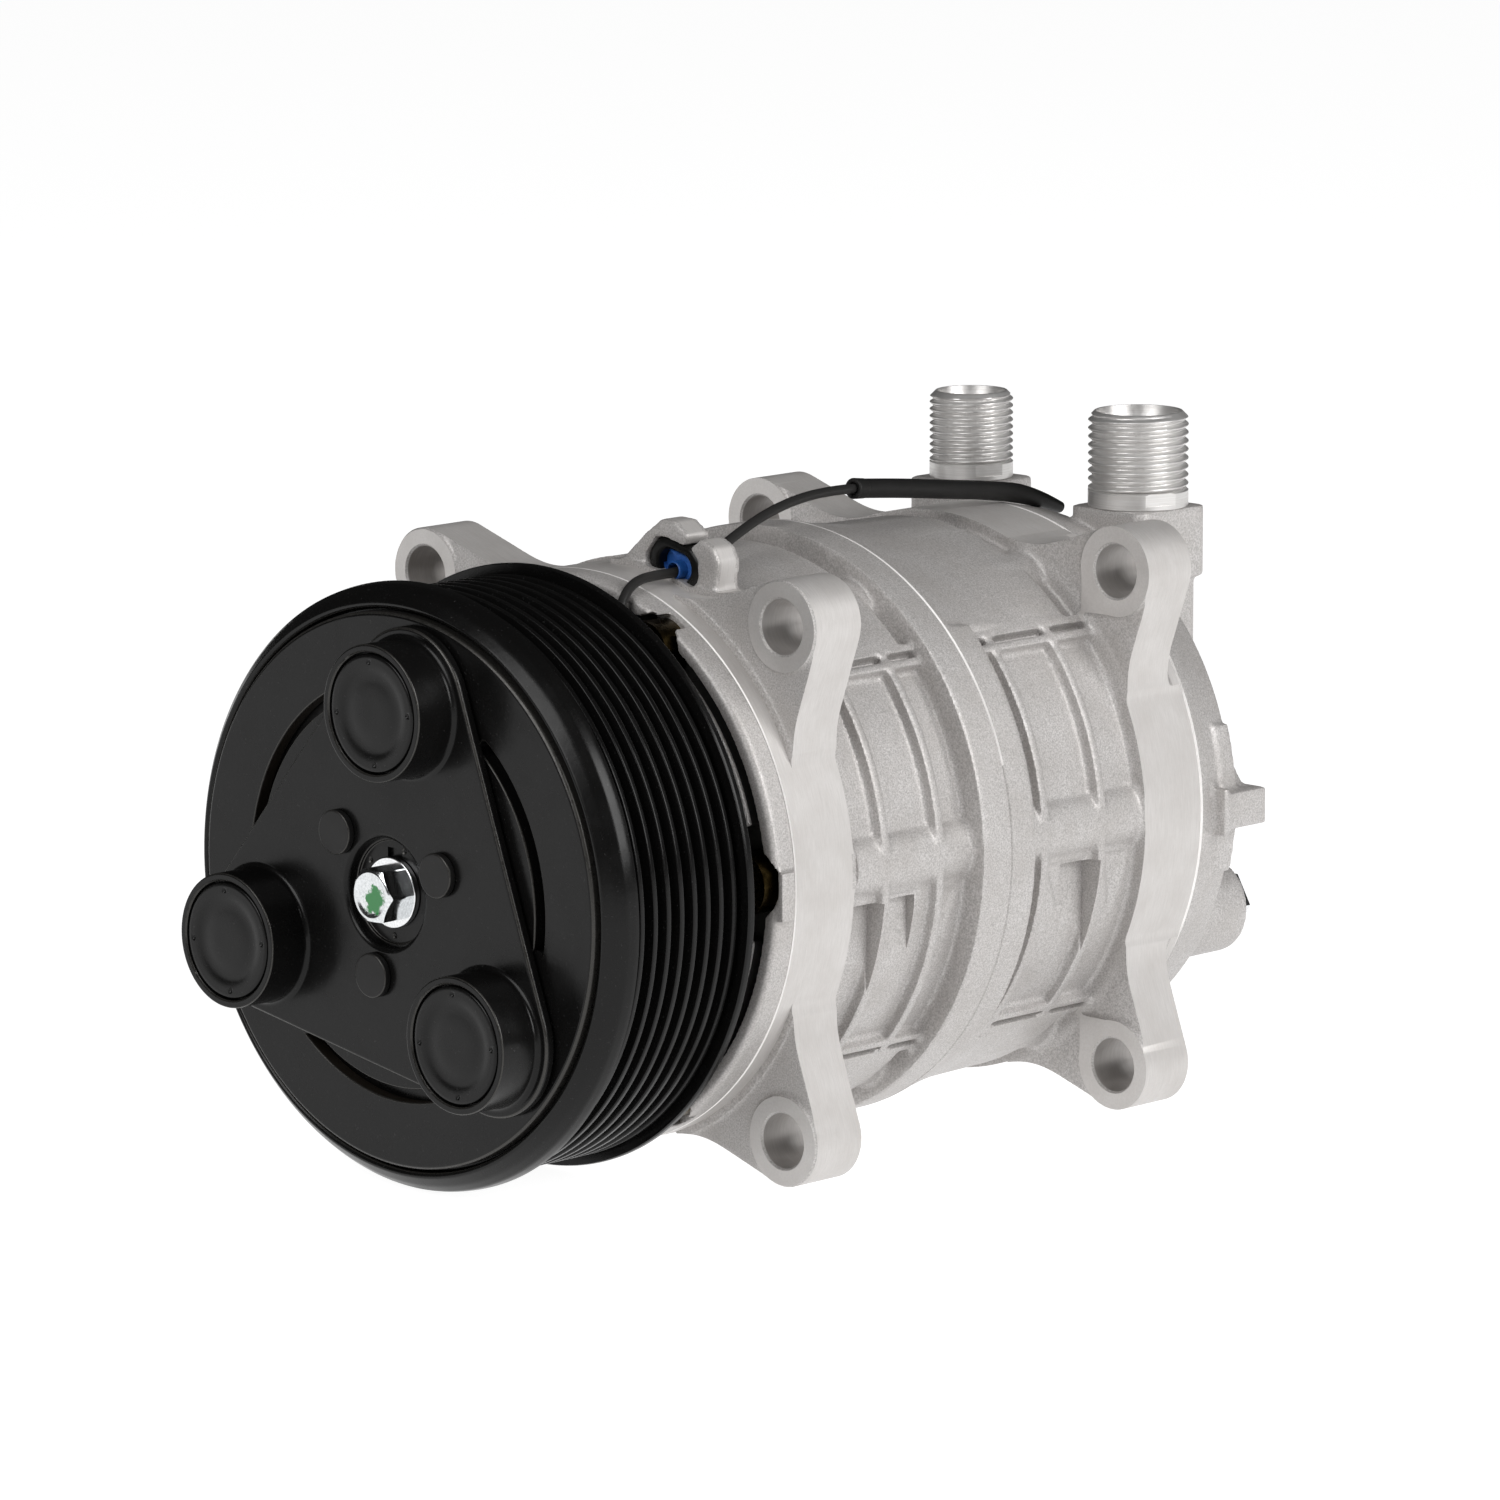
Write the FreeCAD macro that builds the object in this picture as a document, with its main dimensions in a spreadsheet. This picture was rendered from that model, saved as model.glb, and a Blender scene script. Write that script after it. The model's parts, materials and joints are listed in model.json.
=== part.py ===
import FreeCAD, Part
import Sketcher
import math
import os

# Swash-plate compressor with an electromagnetic clutch.
# The shaft axis is the Y axis and the clutch faces -Y. +Z is up, towards the two fittings.
# The origin is on the shaft axis, in the plane of the front ears' front faces.

Vector = FreeCAD.Vector

# ---------------------------------------------------------------- driving dimensions
DIMENSIONS = {
    # casings: stations along the shaft
    "front_seam": -3.5,
    "front_deck": 0.3,
    "mid_seam": 54.6,
    "rear_deck": 108.9,
    "rear_seam": 114.0,
    "head_rim": 126.6,
    # casings: radii
    "seam_radius": 57.3,
    "barrel_radius": 55.2,
    "ring_radius": 60.6,
    "rear_seam_radius": 58.2,
    "rim_end_radius": 56.0,
    "front_ring_width": 8.2,
    "rear_ring_width": 7.2,
    "rib_radius": 57.5,
    "crown_radius": 57.8,
    "crown_shoulder": 2.6,
    "plate_radius": 53.4,
    "recess_radius": 53.8,
    "o_ring_inner": 56.4,
    "o_ring_outer": 58.2,
    "o_ring_depth": 1.6,
    # mounting ears
    "ear_spacing_x": 100.0,
    "ear_spacing_z": 101.6,
    "ear_radius": 9.2,
    "ear_hole_radius": 5.5,
    "ear_thickness": 12.8,
    "ear_face_relief": 0.7,
    "ear_side_angle": 19.6,
    "rear_ear_face": 96.4,
    # cylinders, bolts and passages
    "bore_radius": 17.0,
    "bore_pitch": 35.0,
    "bore_phase": 32.0,
    "cavity_radius": 44.5,
    "cavity_half": 20.0,
    "bolt_pitch": 50.0,
    "bolt_phase": 2.0,
    "bolt_radius": 4.0,
    "bolt_hole_radius": 4.4,
    "bolt_head_radius": 6.2,
    "bolt_head_height": 6.0,
    "bolt_seat": -5.0,
    "tunnel_radius": 7.7,
    "head_groove_inner": 52.3,
    "head_groove_outer": 54.4,
    "head_recess_inner": 45.6,
    "head_groove_floor": -5.4,
    "gas_hole_radius": 4.5,
    "gas_hole_pitch": 39.0,
    # shaft, bearings and seal
    "shaft_radius": 10.0,
    "seal_journal": 9.0,
    "hub_journal": 7.0,
    "needle_inner": 10.03,
    "needle_outer": 14.0,
    "needle_length": 18.0,
    "thrust_radius": 17.8,
    "thrust_width": 3.6,
    "swash_radius": 42.5,
    "swash_thickness": 8.0,
    "swash_tilt": 16.0,
    # clutch
    "rim_radius": 59.85,
    "pulley_rear": -17.4,
    "lip_start": -49.6,
    "groove_pitch": 3.56,
    "crest_drop": 2.0,
    "groove_depth": 3.3,
    "first_crest": -45.7,
    "friction_face": -52.6,
    "lip_radius": 55.3,
    "bearing_front": -43.5,
    "bearing_width": 20.0,
    "bearing_outer": 27.5,
    "bearing_inner": 17.5,
    "ball_radius": 3.0,
    "air_gap": 0.4,
    "armature_radius": 54.6,
    "armature_thickness": 2.8,
    "slot_inner": 38.8,
    "slot_outer": 41.4,
    "plate_face": -58.6,
    "plate_thickness": 2.2,
    "cup_pitch": 37.84,
    "cup_phase": 79.9,
    "cup_radius": 13.4,
    "cup_wall": 1.5,
    "cup_face": -67.98,
    "lobe_radius": 15.6,
    "centre_hole": 10.8,
    "rivet_pitch": 16.6,
    "rivet_phase": 20.2,
    "rivet_head": 4.4,
    "coil_outer": 50.7,
    "coil_inner": 32.6,
    # fittings
    "port_offset": 23.5,
    "port_station": 133.0,
    "fitting_top": 77.5,
    "small_thread": 8.8,
    "large_thread": 10.4,
    "small_collar": 59.2,
    "large_collar": 57.8,
    # lead, and the grommet whose long axis lies along the flange's rim
    "wire_radius": 1.0,
    "sleeve_radius": 2.0,
    "grommet_pitch": 60.1,
    "grommet_angle": 76.2,
    "grommet_half_length": 7.4,
    "grommet_half_height": 4.8,
    "grommet_face": 6.6,
    "grommet_depth": 6.6,
    "boot_radius": 1.9,
    "boot_pitch": 47.6,
    "boot_angle": 64.6,
    "boot_end": -12.2,
}

RIB_STATIONS = {"front": (22.0, 37.5), "rear": (68.0, 85.0)}
BAR_SPANS = {"front": (22.0, 47.0), "rear": (62.0, 96.5)}
BAR_ANGLES = (41.4, 44.8)
CROWN_FROM, CROWN_TO = 46.0, 134.0
HEAD_RECESS_HALF_TURN = 12.5
CHAMBER_FROM, CHAMBER_TO = 4, 52
BALL_COUNT = 14
SMALL_PITCH, LARGE_PITCH, THREAD_TURNS = 1.5, 1.75, 8
CREST_COUNT = 8
FRONT, REAR = "front", "rear"


class Dim:
    """A size that knows both its value and the sheet expression that gives it."""

    def __init__(self, value, text):
        self.value = float(value)
        self.text = text

    @staticmethod
    def of(other):
        return other if isinstance(other, Dim) else Dim(other, repr(float(other)))

    def __add__(self, other):
        other = Dim.of(other)
        return Dim(self.value + other.value, "(%s + %s)" % (self.text, other.text))

    def __sub__(self, other):
        other = Dim.of(other)
        return Dim(self.value - other.value, "(%s - %s)" % (self.text, other.text))

    def __mul__(self, factor):
        factor = Dim.of(factor)
        return Dim(self.value * factor.value, "(%s * %s)" % (self.text, factor.text))

    def __rsub__(self, other):
        return Dim.of(other) - self

    def __neg__(self):
        return self * -1

    __radd__ = __add__
    __rmul__ = __mul__

    def __float__(self):
        return self.value


class Sizes:
    """Every driving dimension as an attribute."""


doc = FreeCAD.newDocument("ac_compressor")
sheet = doc.addObject("Spreadsheet::Sheet", "Sheet")
size = Sizes()
for row, (alias, value) in enumerate(DIMENSIONS.items(), start=1):
    sheet.set("A%d" % row, alias)
    sheet.set("B%d" % row, str(value))
    sheet.setAlias("B%d" % row, alias)
    setattr(size, alias, Dim(value, "Sheet." + alias))
doc.recompute()

NODES = []


# ---------------------------------------------------------------- helpers
def node(label, obj):
    """Registers a finished sub-part under its file name."""
    obj.Label = label
    NODES.append(obj)
    return obj


def bind(obj, prop, value):
    obj.setExpression(prop, Dim.of(value).text)


def place(obj, x, y, z):
    for axis, value in zip("xyz", (x, y, z)):
        bind(obj, "Placement.Base." + axis, value)


def turned(name, outline):
    """A body turned about the shaft axis from a closed (radius, station) outline."""
    body = doc.addObject("PartDesign::Body", name)
    plane = [item for item in body.Origin.OriginFeatures if item.Role == "XY_Plane"][0]
    sketch = body.newObject("Sketcher::SketchObject", name + "_outline")
    sketch.AttachmentSupport = [(plane, "")]
    sketch.MapMode = "FlatFace"
    corners = [Vector(float(r), float(y), 0) for r, y in outline]
    count = len(corners)
    for index in range(count):
        sketch.addGeometry(Part.LineSegment(corners[index], corners[(index + 1) % count]))
    for index in range(count):
        sketch.addConstraint(Sketcher.Constraint("Coincident", index, 2, (index + 1) % count, 1))
    for index, (radius, station) in enumerate(outline):
        for kind, value in (("DistanceX", radius), ("DistanceY", station)):
            value = Dim.of(value)
            number = sketch.addConstraint(Sketcher.Constraint(kind, -1, 1, index, 1, value.value))
            sketch.setExpression("Constraints[%d]" % number, value.text)
    revolution = body.newObject("PartDesign::Revolution", name + "_turn")
    revolution.Profile = sketch
    revolution.ReferenceAxis = (sketch, ["V_Axis"])
    revolution.Angle = 360
    body.Tip = revolution
    return body


def ring(name, inner, outer, start, end):
    return turned(name, [(inner, start), (outer, start), (outer, end), (inner, end)])


def rod(name, radius, start, end, x=0.0, z=0.0):
    """A cylinder along the shaft axis."""
    obj = doc.addObject("Part::Cylinder", name)
    obj.Placement.Rotation = FreeCAD.Rotation(Vector(1, 0, 0), -90)
    bind(obj, "Radius", radius)
    bind(obj, "Height", Dim.of(end) - start)
    place(obj, x, start, z)
    return obj


def block(name, x, y, z):
    """A box from three (low, high) pairs."""
    obj = doc.addObject("Part::Box", name)
    for prop, (low, high) in zip(("Length", "Width", "Height"), (x, y, z)):
        bind(obj, prop, Dim.of(high) - low)
    place(obj, x[0], y[0], z[0])
    return obj


def shaped(name, shape):
    """A feature for a shape that neither a body nor a primitive makes."""
    obj = doc.addObject("Part::Feature", name)
    obj.Shape = shape
    obj.Placement = FreeCAD.Placement()
    return obj


def fuse(name, parts):
    obj = doc.addObject("Part::MultiFuse", name)
    obj.Shapes = parts
    return obj


def cut(name, base, tools):
    obj = doc.addObject("Part::Cut", name)
    obj.Base = base
    obj.Tool = tools[0] if len(tools) == 1 else fuse(name + "_tools", tools)
    return obj


def group(name, parts):
    obj = doc.addObject("Part::Compound", name)
    obj.Links = parts
    return obj


def spots(pitch, phase, count):
    """Points (x, z) on a circle about the shaft."""
    for index in range(count):
        angle = math.radians(float(phase) + 360.0 * index / count)
        yield pitch * math.cos(angle), pitch * math.sin(angle)


def rods(name, radius, start, end, pitch, phase, count):
    places = spots(pitch, phase, count)
    return [rod("%s_%d" % (name, k + 1), radius, start, end, x, z) for k, (x, z) in enumerate(places)]


def prism(points, start, end):
    """An outline of (x, z) points pushed from one station to another."""
    corners = [Vector(x, float(start), z) for x, z in points]
    face = Part.Face(Part.makePolygon(corners + corners[:1]))
    return face.extrude(Vector(0, float(end) - float(start), 0))


def solid_rod(radius, start, end, x=0.0, z=0.0):
    base = Vector(float(x), float(start), float(z))
    return Part.makeCylinder(float(radius), float(end) - float(start), base, Vector(0, 1, 0))


def swept_sector(outline, first, last):
    """A (radius, station) outline turned between two angles in degrees, from +X towards +Z."""
    corners = [Vector(radius, station, 0) for radius, station in outline]
    face = Part.Face(Part.makePolygon(corners + corners[:1]))
    face.rotate(Vector(), Vector(0, 1, 0), -first)
    return face.revolve(Vector(), Vector(0, 1, 0), -(last - first))


def sector(inner, outer, start, end, first, last):
    """Part of a plain ring about the shaft between two angles."""
    return swept_sector([(inner, start), (outer, start), (outer, end), (inner, end)], first, last)


def hull_of_lobes(radius, pitch, phase, count):
    """Outline face of circles on a pitch circle joined by their outer tangents."""
    edges = []
    step = 360.0 / count
    for index in range(count):
        angle = phase + step * index
        centre = Vector(pitch * math.cos(math.radians(angle)), 0, pitch * math.sin(math.radians(angle)))
        ends = [point_on(centre, radius, angle + turn) for turn in (-step / 2, 0, step / 2)]
        edges.append(Part.Arc(*ends).toShape())
        following = angle + step
        heading = math.radians(following)
        centre = Vector(pitch * math.cos(heading), 0, pitch * math.sin(heading))
        edges.append(Part.LineSegment(ends[2], point_on(centre, radius, following - step / 2)).toShape())
    return Part.Face(Part.Wire(edges))


def point_on(centre, radius, angle):
    heading = math.radians(angle)
    return centre + Vector(radius * math.cos(heading), 0, radius * math.sin(heading))


# ---------------------------------------------------------------- clutch
def make_pulley():
    rim, crest = size.rim_radius, size.rim_radius - size.crest_drop
    root = crest - size.groove_depth
    half_crest, half_root = 0.55, 0.5
    outline = [
        (size.bearing_outer, size.pulley_rear - 4.4),
        (size.bearing_outer, size.bearing_front),
        (size.bearing_outer - 1.5, size.bearing_front),
        (size.bearing_outer - 1.5, size.friction_face),
        (size.lip_radius, size.friction_face),
        (size.lip_radius, size.friction_face - 2.0),
        (size.lip_radius + 1.0, size.friction_face - 2.5),
        (rim - 1.7, size.lip_start - 3.6),
        (rim - 0.35, size.lip_start - 1.9),
        (rim, size.lip_start),
        (rim, size.lip_start + 0.9),
    ]
    for index in range(CREST_COUNT):
        middle = size.first_crest + size.groove_pitch * index
        before = middle - size.groove_pitch * 0.5
        outline += [(root, before - half_root if index else before - 0.3), (root, before + half_root)]
        outline += [(crest, middle - half_crest), (crest, middle + half_crest)]
    last = size.first_crest + size.groove_pitch * (CREST_COUNT - 0.5)
    outline += [
        (root, last - half_root),
        (root, last + half_root),
        (rim, size.pulley_rear - 1.5),
        (rim, size.pulley_rear),
        (size.coil_outer + 0.9, size.pulley_rear),
        (size.coil_outer + 0.9, size.friction_face + 4.0),
        (size.bearing_outer + 4.2, size.friction_face + 4.0),
        (size.bearing_outer + 4.2, size.pulley_rear - 4.4),
    ]
    groove = ring("circlip_groove", size.bearing_outer - 0.5, size.bearing_outer + 0.8,
                  size.bearing_front + size.bearing_width, size.bearing_front + size.bearing_width + 1.3)
    node("pulley", cut("pulley_cut", turned("pulley_turned", outline), [groove]))


def make_bearing():
    start = size.bearing_front
    end = start + size.bearing_width
    pitch = (size.bearing_outer + size.bearing_inner) * 0.5
    track = size.ball_radius + 0.05
    rows = (start + 5.6, end - 5.6)

    def grooved(name, wall, face, bottom):
        outline = [(wall, start), (face, start)]
        for row in rows:
            outline += [(face, row - track), (bottom, row - track)]
            outline += [(bottom, row + track), (face, row + track)]
        return turned(name, outline + [(face, end), (wall, end)])

    node("bearing_outer_ring", grooved("outer_ring", size.bearing_outer, pitch + 2.1, pitch + track))
    node("bearing_inner_ring", grooved("inner_ring", size.bearing_inner, pitch - 2.1, pitch - track))
    balls = []
    for row in rows:
        for x, z in spots(pitch, 0, BALL_COUNT):
            ball = doc.addObject("Part::Sphere", "ball")
            bind(ball, "Radius", size.ball_radius)
            place(ball, x, row, z)
            balls.append(ball)
    node("bearing_balls", group("balls", balls))
    cage_parts = []
    for row in rows:
        band = ring("cage_band", pitch - 0.7, pitch + 0.7, row - 2.4, row + 2.4)
        pockets = []
        for x, z in spots(pitch, 0, BALL_COUNT):
            pocket = doc.addObject("Part::Sphere", "pocket")
            bind(pocket, "Radius", size.ball_radius + 0.12)
            place(pocket, x, row, z)
            pockets.append(pocket)
        cage_parts.append(cut("cage_cut", band, pockets))
    node("bearing_cages", group("cages", cage_parts))
    seals = [ring("seal_front", pitch - 1.9, pitch + 2.1, start + 0.3, start + 1.1),
             ring("seal_rear", pitch - 1.9, pitch + 2.1, end - 1.1, end - 0.3)]
    node("bearing_seals", group("seals", seals))
    circlip = ring("circlip_ring", size.bearing_outer - 2.4, size.bearing_outer + 0.7, end, end + 1.2)
    gap = block("circlip_gap", (-5, 5), (end - 1, end + 3), (-35, -20))
    node("bearing_circlip", cut("bearing_circlip_cut", circlip, [gap]))
    nose_clip = ring("nose_ring", size.bearing_inner - 0.7, size.bearing_inner + 2.6, start - 1.5, start)
    gap = block("nose_gap", (-4, 4), (start - 3, start + 1), (-26, -12))
    node("nose_circlip", cut("nose_circlip_cut", nose_clip, [gap]))


def make_coil():
    back = size.pulley_rear + 0.9
    front = size.friction_face + 5.0
    wall = 2.4
    outline = [
        (size.coil_inner, front), (size.coil_inner + wall, front),
        (size.coil_inner + wall, back - wall), (size.coil_outer - wall, back - wall),
        (size.coil_outer - wall, front), (size.coil_outer, front),
        (size.coil_outer, back), (size.bearing_inner + 0.6, back),
        (size.bearing_inner + 0.6, back - 1.8), (size.coil_inner, back - 1.8),
    ]
    node("coil_housing", turned("coil_cup", outline))
    winding = ring("coil_pack", size.coil_inner + wall, size.coil_outer - wall, front + 1.0, back - wall)
    node("coil_winding", winding)


def make_hub():
    lobe, pitch, phase = float(size.lobe_radius), float(size.cup_pitch), float(size.cup_phase)
    face, back = float(size.plate_face), float(size.plate_face + size.plate_thickness)
    edge = 0.7
    sheet_back = hull_of_lobes(lobe, pitch, phase, 3)
    sheet_back.translate(Vector(0, face + edge, 0))
    plate = sheet_back.extrude(Vector(0, back - face - edge, 0))
    top = hull_of_lobes(lobe - edge, pitch, phase, 3)
    top.translate(Vector(0, face, 0))
    plate = plate.fuse(top.extrude(Vector(0, edge, 0)))
    cups = []
    for x, z in spots(pitch, phase, 3):
        cups.append(cup_shape().translated(Vector(x, 0, z)))
        plate = plate.cut(solid_rod(size.cup_radius - size.cup_wall, face - 5, back + 1, x, z))
    plate = plate.fuse(cups)
    plate = plate.cut([solid_rod(size.centre_hole, face - 1, back + 1)])
    for x, z in spots(float(size.rivet_pitch), size.rivet_phase, 3):
        plate = plate.cut(solid_rod(2.55, face - 1, back + 1, x, z))
    node("hub_plate", shaped("hub_plate_pressing", plate.removeSplitter()))

    flange = size.plate_face + size.plate_thickness
    boss_face = size.plate_face + 2.8
    boss_outline = [
        (size.hub_journal, boss_face), (size.centre_hole - 0.6, boss_face),
        (size.centre_hole - 0.6, flange), (22.5, flange), (22.5, flange + 3.0),
        (size.centre_hole, flange + 3.0), (size.centre_hole, -46.4), (size.hub_journal, -46.4),
    ]
    slot = block("boss_keyway", (-2, 2), (boss_face - 1, -46), (6, 8.6))
    holes = rods("boss_rivet_hole", 2.55, flange - 1, flange + 4, size.rivet_pitch, size.rivet_phase, 3)
    node("hub_boss", cut("hub_boss_cut", turned("boss_turned", boss_outline), [slot] + holes))

    rivets = []
    for x, z in spots(size.rivet_pitch, size.rivet_phase, 3):
        parts = [rod("rivet_head", size.rivet_head, size.plate_face - 1.6, size.plate_face, x, z),
                 rod("rivet_shank", 2.5, size.plate_face, flange + 3.0, x, z),
                 rod("rivet_tail", 3.6, flange + 3.0, flange + 4.2, x, z)]
        rivets.append(fuse("rivet", parts))
    node("hub_rivets", group("rivets", rivets))

    # The key lies half in the shaft and half in the boss.
    node("drive_key", block("key", (-1.97, 1.97), (-55.0, -47.2), (4.6, 8.5)))
    node("clutch_shim", ring("shim", size.hub_journal + 0.05, size.centre_hole - 0.4, -46.35, -46.05))


def cup_shape():
    """One damper cup about its own axis: open to the front, with a rounded root and a floor."""
    outer, inner = float(size.cup_radius), float(size.cup_radius - size.cup_wall)
    face, plate = float(size.cup_face), float(size.plate_face)
    back, root, lip = plate + float(size.plate_thickness), 1.9, 0.5
    arc = Part.Arc(Vector(outer, plate - root, 0), Vector(outer + root * 0.293, plate - root * 0.293, 0),
                   Vector(outer + root, plate, 0))
    path = [
        Part.LineSegment(Vector(inner, face, 0), Vector(outer - lip, face, 0)),
        Part.LineSegment(Vector(outer - lip, face, 0), Vector(outer, face + lip, 0)),
        Part.LineSegment(Vector(outer, face + lip, 0), Vector(outer, plate - root, 0)),
        arc,
        Part.LineSegment(Vector(outer + root, plate, 0), Vector(outer + root, back, 0)),
        Part.LineSegment(Vector(outer + root, back, 0), Vector(8.5, back, 0)),
        Part.LineSegment(Vector(8.5, back, 0), Vector(8.5, back - 1.2, 0)),
        Part.LineSegment(Vector(8.5, back - 1.2, 0), Vector(inner, back - 1.2, 0)),
        Part.LineSegment(Vector(inner, back - 1.2, 0), Vector(inner, face, 0)),
    ]
    face_shape = Part.Face(Part.Wire([item.toShape() for item in path]))
    return face_shape.revolve(Vector(), Vector(0, 1, 0), 360)


def make_armature():
    front = size.friction_face - size.air_gap - size.armature_thickness
    back = size.friction_face - size.air_gap
    outline = [(26.5, front), (size.armature_radius - 0.9, front), (size.armature_radius, front + 0.8),
               (size.armature_radius, back), (26.5, back)]
    tools = []
    for index in range(3):
        middle = float(size.rivet_phase) + 120.0 * index
        slot = sector(float(size.slot_inner), float(size.slot_outer), float(front) - 1, float(back) + 1,
                      middle - 33, middle + 33)
        tools.append(shaped("armature_slot_%d" % (index + 1), slot))
    tools += rods("armature_pin_hole", 4.0, front - 1, back + 1, size.cup_pitch, size.cup_phase, 3)
    node("armature_plate", cut("armature_cut", turned("armature_turned", outline), tools))

    pins, rubbers = [], []
    head_back = size.cup_face + 2.0
    for x, z in spots(size.cup_pitch, size.cup_phase, 3):
        rim = rod("pin_rim", 11.5, size.cup_face + 0.25, head_back, x, z)
        tube = [rod("dish_outer", 9.0, size.cup_face - 1, size.cup_face + 0.75, x, z)]
        island = rod("dish_island", 5.6, size.cup_face + 0.4, head_back, x, z)
        stem = rod("pin_stem", 4.0, head_back, back, x, z)
        pins.append(fuse("pin", [cut("pin_dished", rim, tube), island, stem]))
        rubber = rod("rubber_body", size.cup_radius - size.cup_wall, head_back + 0.5,
                     size.plate_face + 1.0, x, z)
        bore = rod("rubber_bore", 4.06, head_back, size.plate_face + 2, x, z)
        rubbers.append(cut("rubber", rubber, [bore]))
    node("damper_pins", group("pins", pins))
    node("damper_rubbers", group("rubbers", rubbers))


def make_centre_bolt():
    boss_face = size.plate_face + 2.8
    washer_top = boss_face - 1.4
    node("hub_washer", ring("washer", 3.2, 7.0, washer_top, boss_face))
    head = doc.addObject("Part::Prism", "bolt_hex")
    head.Polygon = 6
    head.Circumradius = 10.0 / math.sqrt(3.0)
    head.Height = 5.2
    head.Placement.Rotation = FreeCAD.Rotation(Vector(1, 0, 0), -90)
    place(head, 0, washer_top - 5.2, 0)
    dome = turned("bolt_dome", [(0.0, washer_top - 5.2), (4.7, washer_top - 5.2), (5.9, washer_top - 4.5),
                                (5.9, washer_top), (0.0, washer_top)])
    trimmed = doc.addObject("Part::MultiCommon", "bolt_head")
    trimmed.Shapes = [head, dome]
    shank = rod("bolt_shank", 3.0, washer_top, -40.0)
    node("hub_bolt", fuse("hub_bolt_solid", [trimmed, shank]))


# ---------------------------------------------------------------- shaft line
def make_shaft():
    outline = [
        (3.0, -55.2), (size.hub_journal, -55.2), (size.hub_journal, -46.0), (size.seal_journal, -46.0),
        (size.seal_journal, -8.0), (size.shaft_radius, -6.0), (size.shaft_radius, 104.2), (9.2, 105.0),
        (0.0, 105.0), (0.0, -38.5), (3.0, -39.5),
    ]
    keyway = block("shaft_keyway", (-2, 2), (-56, -46.8), (4.6, 8))
    node("shaft", cut("shaft_cut", turned("shaft_turned", outline), [keyway]))
    journal = size.seal_journal + 0.05
    node("shaft_seal", turned("seal_ring", [
        (journal + 1.6, -34.0), (13.2, -34.0), (13.2, -26.0), (journal + 0.6, -26.0), (journal, -27.2),
        (journal, -28.4), (journal + 1.6, -30.0)]))
    clip = ring("seal_clip_ring", 11.0, 13.9, -35.6, -34.3)
    gap = block("seal_clip_gap", (-3, 3), (-37, -33), (-16, -8))
    node("seal_circlip", cut("seal_circlip_cut", clip, [gap]))

    swash_half = float(size.swash_thickness) / 2
    centre = Vector(0, float(size.mid_seam), 0)
    disc = solid_rod(size.swash_radius, -swash_half, swash_half)
    disc.rotate(Vector(), swash_tilt_axis(), float(size.swash_tilt))
    disc.translate(centre)
    boss = solid_rod(17.0, size.mid_seam - 15.8, size.mid_seam + 15.8)
    bore = solid_rod(size.shaft_radius + 0.04, size.mid_seam - 30, size.mid_seam + 30)
    node("swash_plate", shaped("swash_solid", disc.fuse(boss).cut(bore).removeSplitter()))

    for side in (FRONT, REAR):
        sign = -1 if side == FRONT else 1
        inner = size.mid_seam + sign * 16.0
        outer = size.mid_seam + sign * (float(size.thrust_width) + 16.0)
        low, high = (outer, inner) if side == FRONT else (inner, outer)
        race = ring(side + "_thrust", size.shaft_radius + 0.1, size.thrust_radius, low, high)
        node(side + "_thrust_bearing", race)
        start = size.front_deck + 3.0 if side == FRONT else size.rear_deck - 21.0
        node(side + "_needle_bearing", ring(side + "_needle", size.needle_inner, size.needle_outer, start,
                                            start + size.needle_length))


def piston_travel(index):
    """Axial position of one piston on the tilted swash plate, at rest."""
    angle = math.radians(120.0 * index)
    return float(size.bore_pitch) * math.tan(math.radians(float(size.swash_tilt))) * math.cos(angle)


def make_pistons():
    half_length, ball = 42.4, 6.0
    plate_half = float(size.swash_thickness) / 2 / math.cos(math.radians(float(size.swash_tilt)))
    pistons, rings, shoes = [], [], []
    for index, (x, z) in enumerate(spots(float(size.bore_pitch), size.bore_phase, 3)):
        middle = float(size.mid_seam) + piston_travel(index)
        body = solid_rod(size.bore_radius - 0.05, middle - half_length, middle + half_length, x, z)
        window = solid_rod(size.swash_radius + 0.9, middle - 17.5, middle + 17.5)
        body = body.cut(window)
        for end in (-1, 1):
            seat = Part.makeSphere(ball + 0.03, Vector(x, middle + end * (plate_half + 0.1), z))
            near, far = middle + end * (plate_half + 3.0), middle + end * 17.6
            post = solid_rod(9.0, min(near, far), max(near, far), x, z)
            body = body.fuse(post.cut(seat))
            station = middle + end * (half_length - 5.0)
            groove = solid_rod(size.bore_radius + 1, station - 1.0, station + 1.0, x, z)
            core = solid_rod(15.2, station - 1.0, station + 1.0, x, z)
            body = body.cut(groove.cut(core))
            band = solid_rod(size.bore_radius - 0.02, station - 0.9, station + 0.9, x, z)
            rings.append(band.cut(solid_rod(15.3, station - 2, station + 2, x, z)))
            shoes.append(swash_shoe(x, z, middle, end, ball, plate_half))
        pistons.append(body.removeSplitter())
    node("pistons", shaped("piston_solids", Part.Compound(pistons)))
    node("piston_rings", shaped("ring_solids", Part.Compound(rings)))
    node("swash_shoes", shaped("shoe_solids", Part.Compound(shoes)))


def swash_shoe(x, z, middle, end, ball, plate_half):
    """A ball cap that sits between a piston's socket and the tilted face of the swash plate."""
    offset = plate_half + 0.1
    normal = FreeCAD.Rotation(swash_tilt_axis(), float(size.swash_tilt)).multVec(Vector(0, end, 0))
    depth = offset * math.cos(math.radians(float(size.swash_tilt))) - float(size.swash_thickness) / 2 - 0.03
    flat_latitude = -math.degrees(math.asin(depth / ball))
    return Part.makeSphere(ball, Vector(x, middle + end * offset, z), normal, flat_latitude, 90, 360)


def swash_tilt_axis():
    """The line across the shaft about which the swash plate is tilted."""
    heading = math.radians(float(size.bore_phase) + 90.0)
    return Vector(math.cos(heading), 0, math.sin(heading))


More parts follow.
